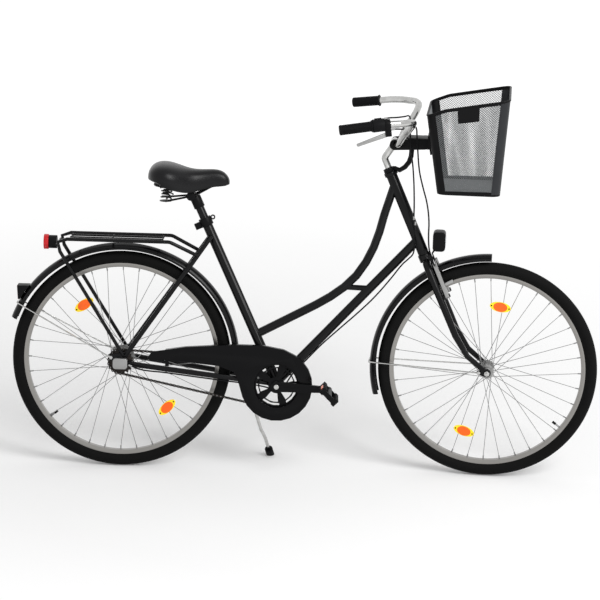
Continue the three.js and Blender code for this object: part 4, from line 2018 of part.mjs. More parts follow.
// Control cables along their real routes, held in the level frame of the bars and on the frame
const BRAKE_CABLE_ROUTE = [
  [-0.8, -269, 84.6], [10, -266.6, 86], [24, -250, 84], [33, -222, 80], [34, -190, 78], [32, -160, 76],
  [38, -132, 82], [54, -114, 80], [67, -96, 68], [71, -82, 38], [75, -74, -11], [82, -62, -76],
  [94, -46, -129],
  [108, -30, -182], [116, -18, -240], [117, -15, -300], [121, -24, -334], [130, -46, -352],
  [136, -60, -366], [140, -57, -377], [140.7, -47, -377.4],
];
const SHIFT_CABLE_FRONT_ROUTE = [
  [-23.8, -273.8, 118], [-6.5, -270.3, 120.7], [12, -262, 121], [36, -222, 119], [47, -160, 112],
  [50, -112, 90], [50, -84, 40], [54, -64, -12], [62, -52, -77], [68, -42, -171], [69, -36, -236],
];
const SHIFT_CABLE_REAR_ROUTE = [
  [925, -34, 828], [921, -31, 775], [922, -22, 725], [905, -12, 702], [890, -5, 686], [855.4, -3.5, 639.5],
  [805, -3.5, 577.2], [756.2, -3.5, 527], [697.7, -3.5, 472], [639.8, -3.5, 416.6], [592.5, -3.5, 365.1],
  [551.9, -4, 320.8], [519.6, -7, 273.5], [507.6, -9, 264.2], [492.4, -12, 263.5], [478, -16, 270],
  [440, -27, 281], [400, -33, 288], [340, -41, 295.6], [270, -46.5, 304.4], [200, -51, 313.2],
  [130, -56.5, 322.1], [90, -66, 327], [60, -75, 334], [38, -76, 342], [27, -76, 346],
];

function cable(route) {
  return tube(route.map(([x, y, z]) => vec(x, y, z)), CABLE_RADIUS, 6);
}

addMesh(bars, 'brake_cable', cable(BRAKE_CABLE_ROUTE), 'plastic');
addMesh(bars, 'shift_cable_front', cable(SHIFT_CABLE_FRONT_ROUTE), 'plastic');
addMesh(bike, 'shift_cable_rear', cable(SHIFT_CABLE_REAR_ROUTE), 'plastic');

// The origin is below the middle of the standing bicycle, on the ground
root.updateMatrixWorld(true);
const whole = new THREE.Box3().setFromObject(root, true);
const middle = whole.getCenter(vec(0, 0, 0));
root.position.set(-middle.x, -middle.y, -whole.min.z);
root.updateMatrixWorld(true);

export default root;
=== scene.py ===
# %% [markdown]
# # A Dutch city bicycle
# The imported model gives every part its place. This lesson gives the parts their looks: round tubes,
# wire spokes, an open mesh basket and the finishes of paint, chrome, rubber and vinyl. All lengths are
# in metres, with +X forwards, +Y to the rider's left and +Z up.

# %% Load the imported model
import json
import math

import bpy
from mathutils import Matrix, Vector

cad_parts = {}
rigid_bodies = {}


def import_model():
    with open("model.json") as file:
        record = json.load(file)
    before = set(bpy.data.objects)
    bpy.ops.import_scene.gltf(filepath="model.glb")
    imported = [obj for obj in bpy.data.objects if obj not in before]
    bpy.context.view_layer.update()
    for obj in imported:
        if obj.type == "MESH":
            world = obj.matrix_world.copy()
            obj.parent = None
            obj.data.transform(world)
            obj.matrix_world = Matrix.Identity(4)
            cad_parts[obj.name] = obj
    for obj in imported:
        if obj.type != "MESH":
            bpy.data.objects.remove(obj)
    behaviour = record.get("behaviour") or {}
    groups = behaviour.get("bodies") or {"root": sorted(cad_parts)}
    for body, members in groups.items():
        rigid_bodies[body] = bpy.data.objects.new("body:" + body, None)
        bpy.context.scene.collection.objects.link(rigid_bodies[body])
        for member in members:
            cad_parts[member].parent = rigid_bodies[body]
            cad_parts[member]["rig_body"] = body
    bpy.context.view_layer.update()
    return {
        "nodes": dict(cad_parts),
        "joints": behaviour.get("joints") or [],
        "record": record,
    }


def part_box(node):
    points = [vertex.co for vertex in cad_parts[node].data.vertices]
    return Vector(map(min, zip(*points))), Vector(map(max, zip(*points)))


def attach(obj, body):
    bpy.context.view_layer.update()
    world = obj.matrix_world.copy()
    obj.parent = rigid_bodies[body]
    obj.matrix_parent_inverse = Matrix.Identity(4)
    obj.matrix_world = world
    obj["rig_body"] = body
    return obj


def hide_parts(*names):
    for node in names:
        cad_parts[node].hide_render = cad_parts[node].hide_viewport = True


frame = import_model()
joints = {joint["name"]: joint for joint in frame["joints"]}
print("CAD nodes:", len(frame["nodes"]), "joints:", len(joints))

# %% [markdown]
# ## Local frames
# The bicycle leans on its stand and its handlebar is turned a little, so nothing lies square to the
# room. Each group of pieces is modelled square in a frame of its own, and its mesh is then turned into
# place. The frames follow from the joints, whose axes are the axles and the head tube.

# %% Frames from the joints
WHEEL_RADIUS = 0.351
BRACKET_DROP = 0.063
HEAD_LEAN = math.radians(24)
CLAMP_FORWARD = 0.049
CLAMP_HEIGHT = 0.789


def pivot(joint):
    return Vector(joints[joint]["pos_m"])


def axis(joint):
    return Vector(joints[joint]["axis"]).normalized()


def framed(origin, x, y, z):
    turned = Matrix((x, y, z)).transposed().to_4x4()
    turned.translation = origin
    return turned


def node_points(node, place):
    """The corners of a CAD node's mesh, in a local frame."""
    inwards = place.inverted()
    return [inwards @ vertex.co for vertex in frame["nodes"][node].data.vertices]


def span(points):
    """The low and the high corner of the box round some points."""
    low = Vector([min(point[i] for point in points) for i in range(3)])
    high = Vector([max(point[i] for point in points) for i in range(3)])
    return low, high


rear_axle = pivot("rear_wheel_spin")
bottom_bracket = pivot("crank_spin")
across = axis("rear_wheel_spin")
to_bracket = bottom_bracket - rear_axle
drop_angle = math.asin(BRACKET_DROP / to_bracket.length)
forward = Matrix.Rotation(-drop_angle, 3, across) @ to_bracket.normalized()
upward = forward.cross(across)
REAR = framed(rear_axle, forward, across, upward)
BIKE = framed(rear_axle - upward * WHEEL_RADIUS, forward, across, upward)

steer_up = axis("steering_turn")
steer_across = axis("front_wheel_spin")
steer_ahead = steer_across.cross(steer_up)
STEERING = framed(pivot("steering_turn"), steer_ahead, steer_across, steer_up)
level_ahead = steer_ahead * math.cos(HEAD_LEAN) - steer_up * math.sin(HEAD_LEAN)
level_up = steer_up * math.cos(HEAD_LEAN) + steer_ahead * math.sin(HEAD_LEAN)
FRONT = framed(pivot("front_wheel_spin"), level_ahead, steer_across, level_up)
clamp_centre = STEERING @ Vector((CLAMP_FORWARD, 0, CLAMP_HEIGHT))
BARS = framed(clamp_centre, level_ahead, steer_across, level_up)
print("bars clamp at", [round(v, 3) for v in clamp_centre])

# %% [markdown]
# ## Camera
# The photograph was taken from the right side with a long lens, a little above the axles. A square
# picture and a long lens keep both wheels nearly round.

# %% Camera
LENS = 147.24
SENSOR = 36
CAMERA_PLACE = Vector((0.604, -7.704, 2.038))
CAMERA_PAN = math.radians(0.28)
CAMERA_TILT = math.radians(-10.87)
CAMERA_ROLL = math.radians(-1.61)
CLIP_END = 100

bpy.ops.object.select_all(action="DESELECT")
bpy.ops.object.camera_add()
camera = bpy.context.active_object
camera.data.lens = LENS
camera.data.sensor_width = SENSOR
camera.data.clip_end = CLIP_END
aim = Matrix.Rotation(CAMERA_PAN, 4, "Z") @ Matrix.Rotation(CAMERA_TILT, 4, "X")
aim = aim @ Matrix.Rotation(CAMERA_ROLL, 4, "Y") @ Matrix.Rotation(math.pi / 2, 4, "X")
camera.matrix_world = BIKE @ Matrix.Translation(CAMERA_PLACE) @ aim
bpy.context.scene.camera = camera
bpy.context.scene.view_settings.view_transform = "Standard"
print("camera at", [round(v, 2) for v in camera.matrix_world.translation])

# %% [markdown]
# ## Shader maths
# A material is a small program. Wrapping a socket in a class lets the program be written as ordinary
# sums: each operator adds one Math node. Any other node comes from one method.


# %% Sockets that add up
NOISE_DETAIL = 3


class Wire:
    """One output of a material, which sums and products can use."""

    def __init__(self, finish, socket):
        self.finish = finish
        self.socket = socket

    def math(self, operation, *others):
        values = dict(enumerate((self, *others)))
        return self.finish.node("Math", values, operation=operation)

    def __add__(self, other):
        return self.math("ADD", other)

    def __mul__(self, other):
        return self.math("MULTIPLY", other)

    def __gt__(self, other):
        return self.math("GREATER_THAN", other)

    __radd__ = __add__
    __rmul__ = __mul__


class Finish:
    """A material with one main shader, fed by name."""

    def __init__(self, name, **fixed):
        self.material = bpy.data.materials.new(name)
        self.material.use_nodes = True
        self.tree = self.material.node_tree
        self.shader = self.tree.nodes["Principled BSDF"]
        for socket, value in fixed.items():
            self.feed(socket.replace("_", " ").title().replace("Ior", "IOR"), value)

    def connect(self, socket, value):
        if isinstance(value, Wire):
            self.tree.links.new(value.socket, socket)
        else:
            socket.default_value = value

    def feed(self, name, value):
        if not isinstance(value, Wire) and name.endswith("Color") and len(value) == 3:
            value = (*value, 1)
        self.connect(self.shader.inputs[name], value)

    def node(self, kind, sockets=None, output=0, **settings):
        made = self.tree.nodes.new("ShaderNode" + kind)
        for name, value in settings.items():
            setattr(made, name, value)
        for name, value in (sockets or {}).items():
            self.connect(made.inputs[name], value)
        return Wire(self, made.outputs[output])

    def place(self, matrix=None):
        """Object coordinates, or those of a local frame."""
        point = self.node("TexCoord", output="Object")
        if matrix is None:
            return point
        turn = {"Vector": point, "Location": matrix.translation, "Rotation": matrix.to_euler()}
        return self.node("Mapping", turn, vector_type="TEXTURE")

    def noise(self, scale, place=None, stretch=None):
        place = place or self.place()
        if stretch:
            place = self.node("Mapping", {"Vector": place, "Scale": stretch})
        return self.node("TexNoise", {"Vector": place, "Scale": scale, "Detail": NOISE_DETAIL})

    def split(self, place):
        made = self.node("SeparateXYZ", {"Vector": place})
        return [Wire(self, out) for out in made.socket.node.outputs]

    def blend(self, share, first, second):
        sockets = {"Factor": share, 6: (*first, 1), 7: (*second, 1)}
        return self.node("Mix", sockets, output=2, data_type="RGBA")

    def bump(self, height, depth, strength):
        sockets = {"Height": height, "Distance": depth, "Strength": strength}
        self.feed("Normal", self.node("Bump", sockets))
        return self


print("noise detail:", NOISE_DETAIL)

# %% [markdown]
# ## Finishes
# The bicycle is nearly all black, so the finishes differ by gloss and grain. Frame paint is a deep
# gloss with a faint ripple. Moulded parts have a fine sand grain. Each one below is a function of the
# object's own coordinates, so that no piece needs an image.

# %% Paint, chrome and alloy
BLACK = (0.0012, 0.0012, 0.0015)
LINE_SLICE = math.sqrt(0.5)
LINE_STRETCH = (1, 0.05, 1)
DARK_SHARE = 0.8


def gloss_paint():
    made = Finish("gloss black paint", coat_weight=0.05, coat_roughness=0.05, specular_ior_level=0.16)
    cloud = made.noise(scale=35)
    made.feed("Base Color", made.blend(cloud, BLACK, (0.003, 0.003, 0.0036)))
    made.feed("Roughness", 0.16 + 0.16 * cloud)
    return made.bump(made.noise(scale=700), depth=0.00006, strength=0.35)


def bright_chrome():
    made = Finish("bright chrome", metallic=1.0)
    cloud = made.noise(scale=60)
    # Painted reflection: the base colour is mottled at random between dark and light grey, standing in
    # for dark surroundings mirrored in the chrome.
    made.feed("Base Color", made.blend(cloud, (0.32, 0.32, 0.31), (0.66, 0.66, 0.65)))
    made.feed("Roughness", 0.06 + 0.12 * cloud)
    return made.bump(made.noise(scale=500), depth=0.00005, strength=0.2)


def satin_alloy(name, colour, rough, around=None):
    """Alloy with fine lines. In a wheel's frame they follow the turning, because only the place along
    the axle counts."""
    made = Finish(name, metallic=1.0)
    place = made.place(around)
    if around is None:
        lines = made.noise(scale=900, place=place, stretch=LINE_STRETCH)
    else:
        along = made.split(place)[1]
        sliced = made.node("CombineXYZ", {"X": LINE_SLICE, "Y": along, "Z": 0.0})
        lines = made.noise(scale=1600, place=sliced)
    dark = tuple(DARK_SHARE * part for part in colour)
    made.feed("Base Color", made.blend(lines, dark, colour))
    made.feed("Roughness", rough + 0.15 * lines)
    return made.bump(lines, depth=0.00003, strength=0.3)


paint = gloss_paint()
chrome = bright_chrome()
alloy = satin_alloy("satin alloy", (0.36, 0.36, 0.355), 0.3)
steel = satin_alloy("spoke steel", (0.3, 0.3, 0.3), 0.22)
rear_rim_alloy = satin_alloy("rear rim alloy", (0.3, 0.29, 0.275), 0.26, REAR)
front_rim_alloy = satin_alloy("front rim alloy", (0.3, 0.29, 0.275), 0.26, FRONT)
print("paint, chrome and alloy ready")

# %% Rubber, plastic and vinyl
LIGHT_SHARE = 1.5
TREAD_BLOCKS = 160
TREAD_SLANT = 420
TREAD_GAP = -0.45
CROWN_LINE = 0.0022


def moulded_plastic(name, colour, rough, grain=1500):
    made = Finish(name, specular_ior_level=0.11)
    sand = made.noise(scale=grain)
    cloud = made.noise(scale=25)
    lighter = tuple(LIGHT_SHARE * part for part in colour)
    made.feed("Base Color", made.blend(cloud, colour, lighter))
    made.feed("Roughness", rough + 0.15 * sand)
    return made.bump(sand, depth=0.00012, strength=0.5)


def tyre_rubber(name, around):
    """Dusty rubber with slanting blocks on both sides of a plain line along the crown."""
    made = Finish(name, specular_ior_level=0.08)
    x, y, z = made.split(made.place(around))
    aside = y.math("ABSOLUTE")
    slant = z.math("ARCTAN2", x) * TREAD_BLOCKS + aside * TREAD_SLANT
    blocks = slant.math("SINE") > TREAD_GAP
    beside_line = aside > CROWN_LINE
    dust = made.noise(scale=45)
    made.feed("Base Color", made.blend(dust, (0.0025, 0.0025, 0.0025), (0.007, 0.007, 0.0068)))
    made.feed("Roughness", 0.62 + 0.25 * dust)
    return made.bump(blocks * beside_line, depth=0.0012, strength=0.8)


def grained_vinyl():
    made = Finish("saddle vinyl", specular_ior_level=0.2)
    cells = made.node("TexVoronoi", {"Vector": made.place(), "Scale": 620.0})
    soft = made.noise(scale=240)
    cloud = made.noise(scale=18)
    made.feed("Base Color", made.blend(cloud, (0.002, 0.002, 0.0024), (0.006, 0.006, 0.007)))
    made.feed("Roughness", 0.2 + 0.2 * soft)
    return made.bump(cells * 0.7 + soft * 0.3, depth=0.00035, strength=0.6)


plastic = moulded_plastic("moulded black plastic", (0.002, 0.002, 0.0024), 0.34)
guard_plastic = moulded_plastic("chain guard plastic", (0.0018, 0.0018, 0.0022), 0.16, 900)
cable_skin = moulded_plastic("cable housing", (0.0025, 0.0025, 0.003), 0.35)
grip_rubber = moulded_plastic("grip rubber", (0.003, 0.003, 0.0035), 0.5, 1100)
rear_rubber = tyre_rubber("rear tyre rubber", REAR)
front_rubber = tyre_rubber("front tyre rubber", FRONT)
vinyl = grained_vinyl()
print("rubber, plastic and vinyl ready")

# %% Chain, mesh and reflectors
def oiled_steel():
    made = Finish("oiled chain steel", metallic=0.85)
    grime = made.noise(scale=260)
    made.feed("Base Color", made.blend(grime, (0.006, 0.005, 0.0045), (0.04, 0.034, 0.03)))
    made.feed("Roughness", 0.3 + 0.35 * grime)
    return made.bump(grime, depth=0.0002, strength=0.4)


def coated_wire():
    made = Finish("basket mesh wire", metallic=0.35, specular_ior_level=0.6)
    wear = made.noise(scale=90)
    made.feed("Base Color", made.blend(wear, (0.16, 0.17, 0.175), (0.27, 0.28, 0.285)))
    made.feed("Roughness", 0.3 + 0.2 * wear)
    return made.bump(made.noise(scale=800), depth=0.00008, strength=0.4)


def prism_plastic(name, dark, bright, painted_glow=0.0):
    """Reflector plastic: small pyramids behind a clear face, each coloured with a painted glint."""
    made = Finish(name, coat_weight=0.1, coat_roughness=0.05, specular_ior_level=0.3)
    cells = made.node("TexVoronoi", {"Vector": made.place(), "Scale": 420.0}, distance="CHEBYCHEV")
    # Painted glint: each cell is coloured bright in its middle and dark towards its edges.
    made.feed("Base Color", made.blend(cells, bright, dark))
    made.feed("Roughness", 0.18 + 0.2 * cells)
    # Painted glow: the plastic gives off light of its own, though it is no lamp.
    made.feed("Emission Color", (*bright, 1))
    made.feed("Emission Strength", painted_glow)
    return made.bump(cells, depth=0.0004, strength=0.35)


chain_steel = oiled_steel()
mesh_wire = coated_wire()
# The orange and yellow prisms have a painted glow; the red and silver prisms have none.
orange = prism_plastic("orange prisms", (0.75, 0.07, 0.002), (1.0, 0.15, 0.004), 0.12)
yellow = prism_plastic("yellow prisms", (0.8, 0.5, 0.01), (1.0, 0.78, 0.02), 0.2)
red = prism_plastic("red prisms", (0.3, 0.004, 0.006), (0.75, 0.012, 0.018))
silver = prism_plastic("silver prisms", (0.35, 0.37, 0.38), (0.8, 0.82, 0.83))
print("chain, mesh and reflectors ready")

# %% [markdown]
# ## Stage
# The photograph is cut out on white with a soft shadow. The world is white where the camera or a mirror
# sees it, and the floor glows a little there, more so far away. The light on the bicycle stays plain.

# %% Floor, world and lamps
FLOOR_SIZE = 60
FLOOR_DROP = 0.0004
NEAR_GLOW = 0.06
FAR_GLOW = 0.4
GLOW_START = 1.0
GLOW_END = 5.0
WORLD_LIGHT = 0.62
KEY_PLACE = Vector((3.4, -3.8, 4.6))
KEY_AIM = Vector((0, 0, 0.4))
KEY_SIZE = 3.2
KEY_POWER = 260

bpy.ops.mesh.primitive_plane_add(size=FLOOR_SIZE, location=(0, 0, -FLOOR_DROP))
floor = bpy.context.active_object
floor.name = "floor"
pale = Finish("white floor", roughness=0.7, specular_ior_level=0.0)
pale.feed("Base Color", pale.blend(pale.noise(scale=2.0), (0.93, 0.93, 0.93), (0.945, 0.945, 0.945)))
seen = pale.node("LightPath", output="Is Camera Ray")
mirrored_too = seen.math("MAXIMUM", pale.node("LightPath", output="Is Glossy Ray"))
x, y = pale.split(pale.place())[:2]
away = {"Value": (x * x + y * y).math("SQRT"), "From Min": GLOW_START, "From Max": GLOW_END}
lift = mirrored_too * (NEAR_GLOW + FAR_GLOW * pale.node("MapRange", away))
pale.feed("Emission Color", pale.blend(lift, (0.0, 0.0, 0.0), (1.0, 1.0, 1.0)))
pale.feed("Emission Strength", 1.0)
floor.data.materials.append(pale.material)

world = bpy.data.worlds.new("studio")
world.use_nodes = True
bpy.context.scene.world = world
nodes, links = world.node_tree.nodes, world.node_tree.links
rays = nodes.new("ShaderNodeLightPath")
mirror = nodes.new("ShaderNodeMath")
mirror.operation = "MAXIMUM"
links.new(rays.outputs["Is Camera Ray"], mirror.inputs[0])
links.new(rays.outputs["Is Glossy Ray"], mirror.inputs[1])
level = nodes.new("ShaderNodeMapRange")
level.inputs["To Min"].default_value = WORLD_LIGHT
level.inputs["To Max"].default_value = 1.0
links.new(mirror.outputs[0], level.inputs["Value"])
sky = nodes["Background"]
sky.inputs["Color"].default_value = (1, 1, 1, 1)
links.new(level.outputs["Result"], sky.inputs["Strength"])

bpy.ops.object.light_add(type="AREA", location=KEY_PLACE)
key = bpy.context.active_object
key.data.size = KEY_SIZE
key.data.energy = KEY_POWER
key.rotation_euler = (KEY_AIM - KEY_PLACE).to_track_quat("-Z", "Y").to_euler()
print("stage ready")

# %% [markdown]
# ## Tools for making pieces
# Every new piece starts as a primitive, is shaped in edit mode and ends with its place in its mesh. A
# turned piece is an outline spun round the Y axis, a bent wire is a curve with a round section, and a
# straight rod is a cylinder set between two points. A piece that keeps its CAD shape starts as a copy.


# %% Primitives, joins and placing
WELD_GAP = 0.000002
CAD_WELD_GAP = 0.00001


def deselect():
    bpy.ops.object.select_all(action="DESELECT")


def in_edit_mode(*steps):
    bpy.ops.object.mode_set(mode="EDIT")
    bpy.ops.mesh.select_all(action="SELECT")
    for step in steps:
        step()
    bpy.ops.object.mode_set(mode="OBJECT")


def coloured(piece, finish):
    piece.data.materials.clear()
    piece.data.materials.append(finish.material)
    return piece


def rod(start, end, radius, finish, sides=8):
    deselect()
    along = end - start
    turn = along.to_track_quat("Z", "Y").to_euler()
    centre = (start + end) / 2
    bpy.ops.mesh.primitive_cylinder_add(
        vertices=sides, radius=radius, depth=along.length, location=centre, rotation=turn
    )
    return coloured(bpy.context.active_object, finish)


def block(size, centre, edge, finish, segments=2):
    """A box with broken edges."""
    deselect()
    bpy.ops.mesh.primitive_cube_add(size=1, location=centre)
    piece = bpy.context.active_object
    piece.scale = size
    bpy.ops.object.transform_apply(location=True, rotation=True, scale=True)
    in_edit_mode(lambda: bpy.ops.mesh.bevel(offset=edge, segments=segments, affect="EDGES"))
    return coloured(piece, finish)


def joined(pieces):
    deselect()
    for piece in pieces:
        piece.select_set(True)
    bpy.context.view_layer.objects.active = pieces[0]
    if len(pieces) > 1:
        bpy.ops.object.join()
    bpy.ops.object.transform_apply(location=True, rotation=True, scale=True)
    return bpy.context.active_object


def merge():
    bpy.ops.mesh.remove_doubles(threshold=WELD_GAP)


def face_out():
    bpy.ops.mesh.normals_make_consistent(inside=False)


def cad_copy(node, *steps):
    """A new object with a CAD node's mesh, its loose triangles merged and shaped by more steps."""
    deselect()
    piece = bpy.data.objects.new(node + "_skin", frame["nodes"][node].data.copy())
    bpy.context.scene.collection.objects.link(piece)
    piece.select_set(True)
    bpy.context.view_layer.objects.active = piece
    in_edit_mode(lambda: bpy.ops.mesh.remove_doubles(threshold=CAD_WELD_GAP), *steps)
    return piece


print("gap closed in new pieces and in copies:", WELD_GAP, CAD_WELD_GAP)

# %% Spinning and bending
FULL_TURN = 2 * math.pi


def spun(outline, finish, steps=128, start=0.0, turn=FULL_TURN):
    """A closed outline of (radius, y) points, spun round the Y axis from +X towards +Z."""
    deselect()
    bpy.ops.mesh.primitive_circle_add(vertices=len(outline), radius=1)
    piece = bpy.context.active_object
    for vertex, (radius, along) in zip(piece.data.vertices, outline):
        vertex.co = (radius * math.cos(start), along, radius * math.sin(start))

    def spin():
        bpy.ops.mesh.spin(steps=steps, angle=turn, center=(0, 0, 0), axis=(0, 1, 0))

    def close():
        bpy.ops.mesh.select_all(action="SELECT")
        merge()
        if turn != FULL_TURN:
            bpy.ops.mesh.fill_holes(sides=0)
        bpy.ops.mesh.select_all(action="SELECT")
        face_out()

    in_edit_mode(spin, close)
    return coloured(piece, finish)


def wire(points, radius, finish, rounds, steps):
    """A round wire or tube on a smooth curve through points."""
    deselect()
    bpy.ops.curve.primitive_bezier_curve_add()
    piece = bpy.context.active_object
    piece.location = (0, 0, 0)
    spline = piece.data.splines[0]
    spline.bezier_points.add(len(points) - 2)
    for spot, point in zip(spline.bezier_points, points):
        spot.co = point
        spot.handle_left_type = spot.handle_right_type = "AUTO"
    piece.data.resolution_u = steps
    piece.data.bevel_depth = radius
    piece.data.bevel_resolution = rounds
    piece.data.use_fill_caps = True
    bpy.ops.object.convert(target="MESH")
    piece = bpy.context.active_object
    in_edit_mode(merge, face_out)
    return coloured(piece, finish)


print("a full turn in radians:", round(FULL_TURN, 4))

# %% Finishing a piece
FLAT_ANGLE = math.radians(0.5)
SHARP_ANGLE = math.radians(50)
SMOOTH_ANGLE = 40
CAD_SMOOTH_ANGLE = 46
PLAIN_EDGE = 0.0005
FINE_EDGE = 0.0003
EDGES = {
    "rear_axle": FINE_EDGE, "front_axle": FINE_EDGE, "stem": FINE_EDGE, "crank_spindle": FINE_EDGE,
    "kickstand_leg": FINE_EDGE, "chainring": FINE_EDGE, "saddle_rails": FINE_EDGE,
    "rear_sprocket": 0.0002, "twist_shifter": 0.0006, "chain_guard": 0.0008,
    "rear_reflector": 0.0008, "kickstand_foot": 0.001, "tail_lamp_lens": 0.001,
    "front_lamp": 0.0012,
}
shown = []


def finished(piece, name, body, slot, place=None, nodes=(), angle=SMOOTH_ANGLE, edge=0.0):
    """Puts a piece in place, smooths it, says what it rides on and hides the CAD nodes it stands for."""
    piece = joined([piece])
    if place is not None:
        piece.data.transform(place)
    piece.name = name
    piece.data.name = name
    if edge:
        broken = piece.modifiers.new("broken edges", "BEVEL")
        broken.width = edge
        broken.segments = 2
        broken.angle_limit = SHARP_ANGLE
        bpy.ops.object.modifier_apply(modifier=broken.name)
    bpy.ops.object.shade_smooth_by_angle(angle=math.radians(angle))
    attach(piece, body)
    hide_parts(*nodes)
    shown.append(name)
    return piece


def dressed(node, finish):
    """A merged, smooth copy of a CAD node with its edges broken, which stands for the node."""

    def flatten():
        bpy.ops.mesh.dissolve_limited(angle_limit=FLAT_ANGLE)

    piece = coloured(cad_copy(node, flatten), finish)
    body = frame["nodes"][node]["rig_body"]
    looks = {"angle": CAD_SMOOTH_ANGLE, "edge": EDGES.get(node, PLAIN_EDGE)}
    return finished(piece, node + "_skin", body, slots[node], nodes=[node], **looks)


slots = {part["node"]: part["material_slot"] for part in frame["record"]["subparts"]}
print("slots:", sorted(set(slots.values())))

# %% [markdown]
# ## Wheels
# Each wheel is a tyre, a rim, a hub and 36 crossed spokes, in a frame whose Y axis is the axle. Spokes
# leave the flange almost along its edge, so that pedalling pulls them straight. Every second spoke
# leads and every second trails, which gives the crossings seen in the photograph.

# %% Tyres
TYRE_MIDDLE = 0.332
TYRE_HALF_WIDTH = 0.0198
TYRE_HALF_HEIGHT = 0.0188
BEAD_RADIUS = 0.3093
BEAD_HALF = 0.0102
TYRE_POINTS = 18
TYRE_OPEN = math.radians(132)


def tyre_outline():
    outline = [(BEAD_RADIUS, BEAD_HALF)]
    for i in range(TYRE_POINTS + 1):
        angle = TYRE_OPEN * (1 - 2 * i / TYRE_POINTS)
        reach = TYRE_MIDDLE + TYRE_HALF_HEIGHT * math.cos(angle)
        outline.append((reach, TYRE_HALF_WIDTH * math.sin(angle)))
    return outline + [(BEAD_RADIUS, -BEAD_HALF)]


def ring_place(angle, radius, along=0.0):
    return Vector((radius * math.cos(angle), along, radius * math.sin(angle)))


for end, place, rubber in (("rear", REAR, rear_rubber), ("front", FRONT, front_rubber)):
    tyre = spun(tyre_outline(), rubber, steps=160)
    finished(tyre, f"{end}_tyre_round", f"{end}_wheel", "tyre_rubber", place, [f"{end}_tyre"])

# %% Rims, nipples and valves
RIM_OUTLINE = [
    (0.3, 0.0), (0.3, 0.0086), (0.309, 0.012), (0.3165, 0.012),
    (0.317, 0.0116), (0.317, 0.0105), (0.309, 0.0105), (0.309, 0.0),
]
SPOKES = 36
NIPPLE_RADIUS = 0.0021
NIPPLE_END = 0.289
NIPPLE_SEAT = 0.301
RIM_SPREAD = 0.0035
SPOKE_SPREAD = 0.0015
VALVE_RADIUS = 0.003
VALVE_END = 0.272
CAP_RADIUS = 0.0042
CAP_HEIGHT = 0.012
REAR_VALVE = math.radians(221)
FRONT_VALVE = math.radians(-37)


def mirrored(half):
    return half + [(radius, -along) for radius, along in reversed(half) if along]


def spoke_side(index):
    side = 1 if index % 2 else -1
    lead = 1 if index // 2 % 2 else -1
    return side, lead


def rim_and_nipples(finish, valve_angle):
    parts = [spun(mirrored(RIM_OUTLINE), finish)]
    for i in range(SPOKES):
        side, lead = spoke_side(i)
        angle = FULL_TURN * i / SPOKES
        along = side * (RIM_SPREAD + lead * SPOKE_SPREAD)
        inner, outer = ring_place(angle, NIPPLE_END, along), ring_place(angle, NIPPLE_SEAT, along)
        parts.append(rod(inner, outer, NIPPLE_RADIUS, steel, 6))
    stem_end = ring_place(valve_angle, VALVE_END)
    parts.append(rod(ring_place(valve_angle, NIPPLE_SEAT), stem_end, VALVE_RADIUS, steel))
    cap_top = ring_place(valve_angle, VALVE_END + CAP_HEIGHT)
    parts.append(rod(stem_end, cap_top, CAP_RADIUS, plastic, 10))
    return joined(parts)


for end, place, finish, valve in (
    ("rear", REAR, rear_rim_alloy, REAR_VALVE),
    ("front", FRONT, front_rim_alloy, FRONT_VALVE),
):
    rim = rim_and_nipples(finish, valve)
    finished(rim, f"{end}_rim_round", f"{end}_wheel", "rim_alloy", place, [f"{end}_rim"])
print("rims with", SPOKES, "nipples each")

# %% Hubs and spokes
SPOKE_RADIUS = 0.001
SPOKE_CROSS = math.radians(60)
SPOKE_INSET = 0.004
SPOKE_END = 0.2895
HEAD_HALF = 0.0022
HEAD_RADIUS = 0.0018
FLANGE = 0.004
FLANGE_EDGE = 0.0006
BARREL_EDGE = 0.001
BORE = 0.0056
HUBS = {
    "rear": {
        "body": 0.029, "flange": 0.038, "offset": 0.03, "barrel": 0.022, "right": 0.04, "left": 0.046,
    },
    "front": {
        "body": 0.014, "flange": 0.022, "offset": 0.034, "barrel": 0.014, "right": 0.044, "left": 0.044,
    },
}


def hub_outline(body, flange, offset, barrel, right, left):
    """Radius by distance along the axle, from the right end to the left, and back along the bore."""
    face = offset + FLANGE
    low, end = flange - FLANGE_EDGE, barrel - BARREL_EDGE
    return [
        (BORE, -right), (end, -right), (barrel, -right + BARREL_EDGE), (barrel, -face),
        (low, -face), (flange, -face + FLANGE_EDGE), (flange, -offset - FLANGE_EDGE),
        (low, -offset), (body, -offset), (body, offset), (low, offset),
        (flange, offset + FLANGE_EDGE), (flange, face - FLANGE_EDGE), (low, face),
        (barrel, face), (barrel, left - BARREL_EDGE), (end, left), (BORE, left),
    ]


def spokes(flange, offset):
    parts = []
    for i in range(SPOKES):
        side, lead = spoke_side(i)
        rim_angle = FULL_TURN * i / SPOKES
        in_flange = side * (offset + FLANGE / 2 + lead * SPOKE_SPREAD)
        in_rim = side * (RIM_SPREAD + lead * SPOKE_SPREAD)
        start = ring_place(rim_angle + lead * SPOKE_CROSS, flange - SPOKE_INSET, in_flange)
        parts.append(rod(start, ring_place(rim_angle, SPOKE_END, in_rim), SPOKE_RADIUS, steel, 6))
        head = Vector((0, side * HEAD_HALF, 0))
        parts.append(rod(start - head, start + head, HEAD_RADIUS, steel))
    return parts


for end, place in (("rear", REAR), ("front", FRONT)):
    sizes = HUBS[end]
    hub = spun(hub_outline(**sizes), alloy, steps=48)
    wheel = joined([hub] + spokes(sizes["flange"], sizes["offset"]))
    name = f"{end}_hub_spokes"
    finished(wheel, f"{end}_laced_hub", f"{end}_wheel", "spoke_steel", place, [name])
print("hubs laced")

# %% [markdown]
# ## Wheel reflectors
# Each reflector is a yellow holder with an orange lens, screwed between two spokes so that it turns
# with the wheel. Its place is read from its CAD node, and its long side lies along the turning.

# %% Reflectors
HOLDER_SIZE = (0.068, 0.0055, 0.032)
LENS_SIZE = (0.045, 0.0068, 0.0305)
SCREW_PLACE = 0.0285
SCREW_RADIUS = 0.0024
SCREW_HALF = 0.0036
OVAL_EDGE = 0.0007


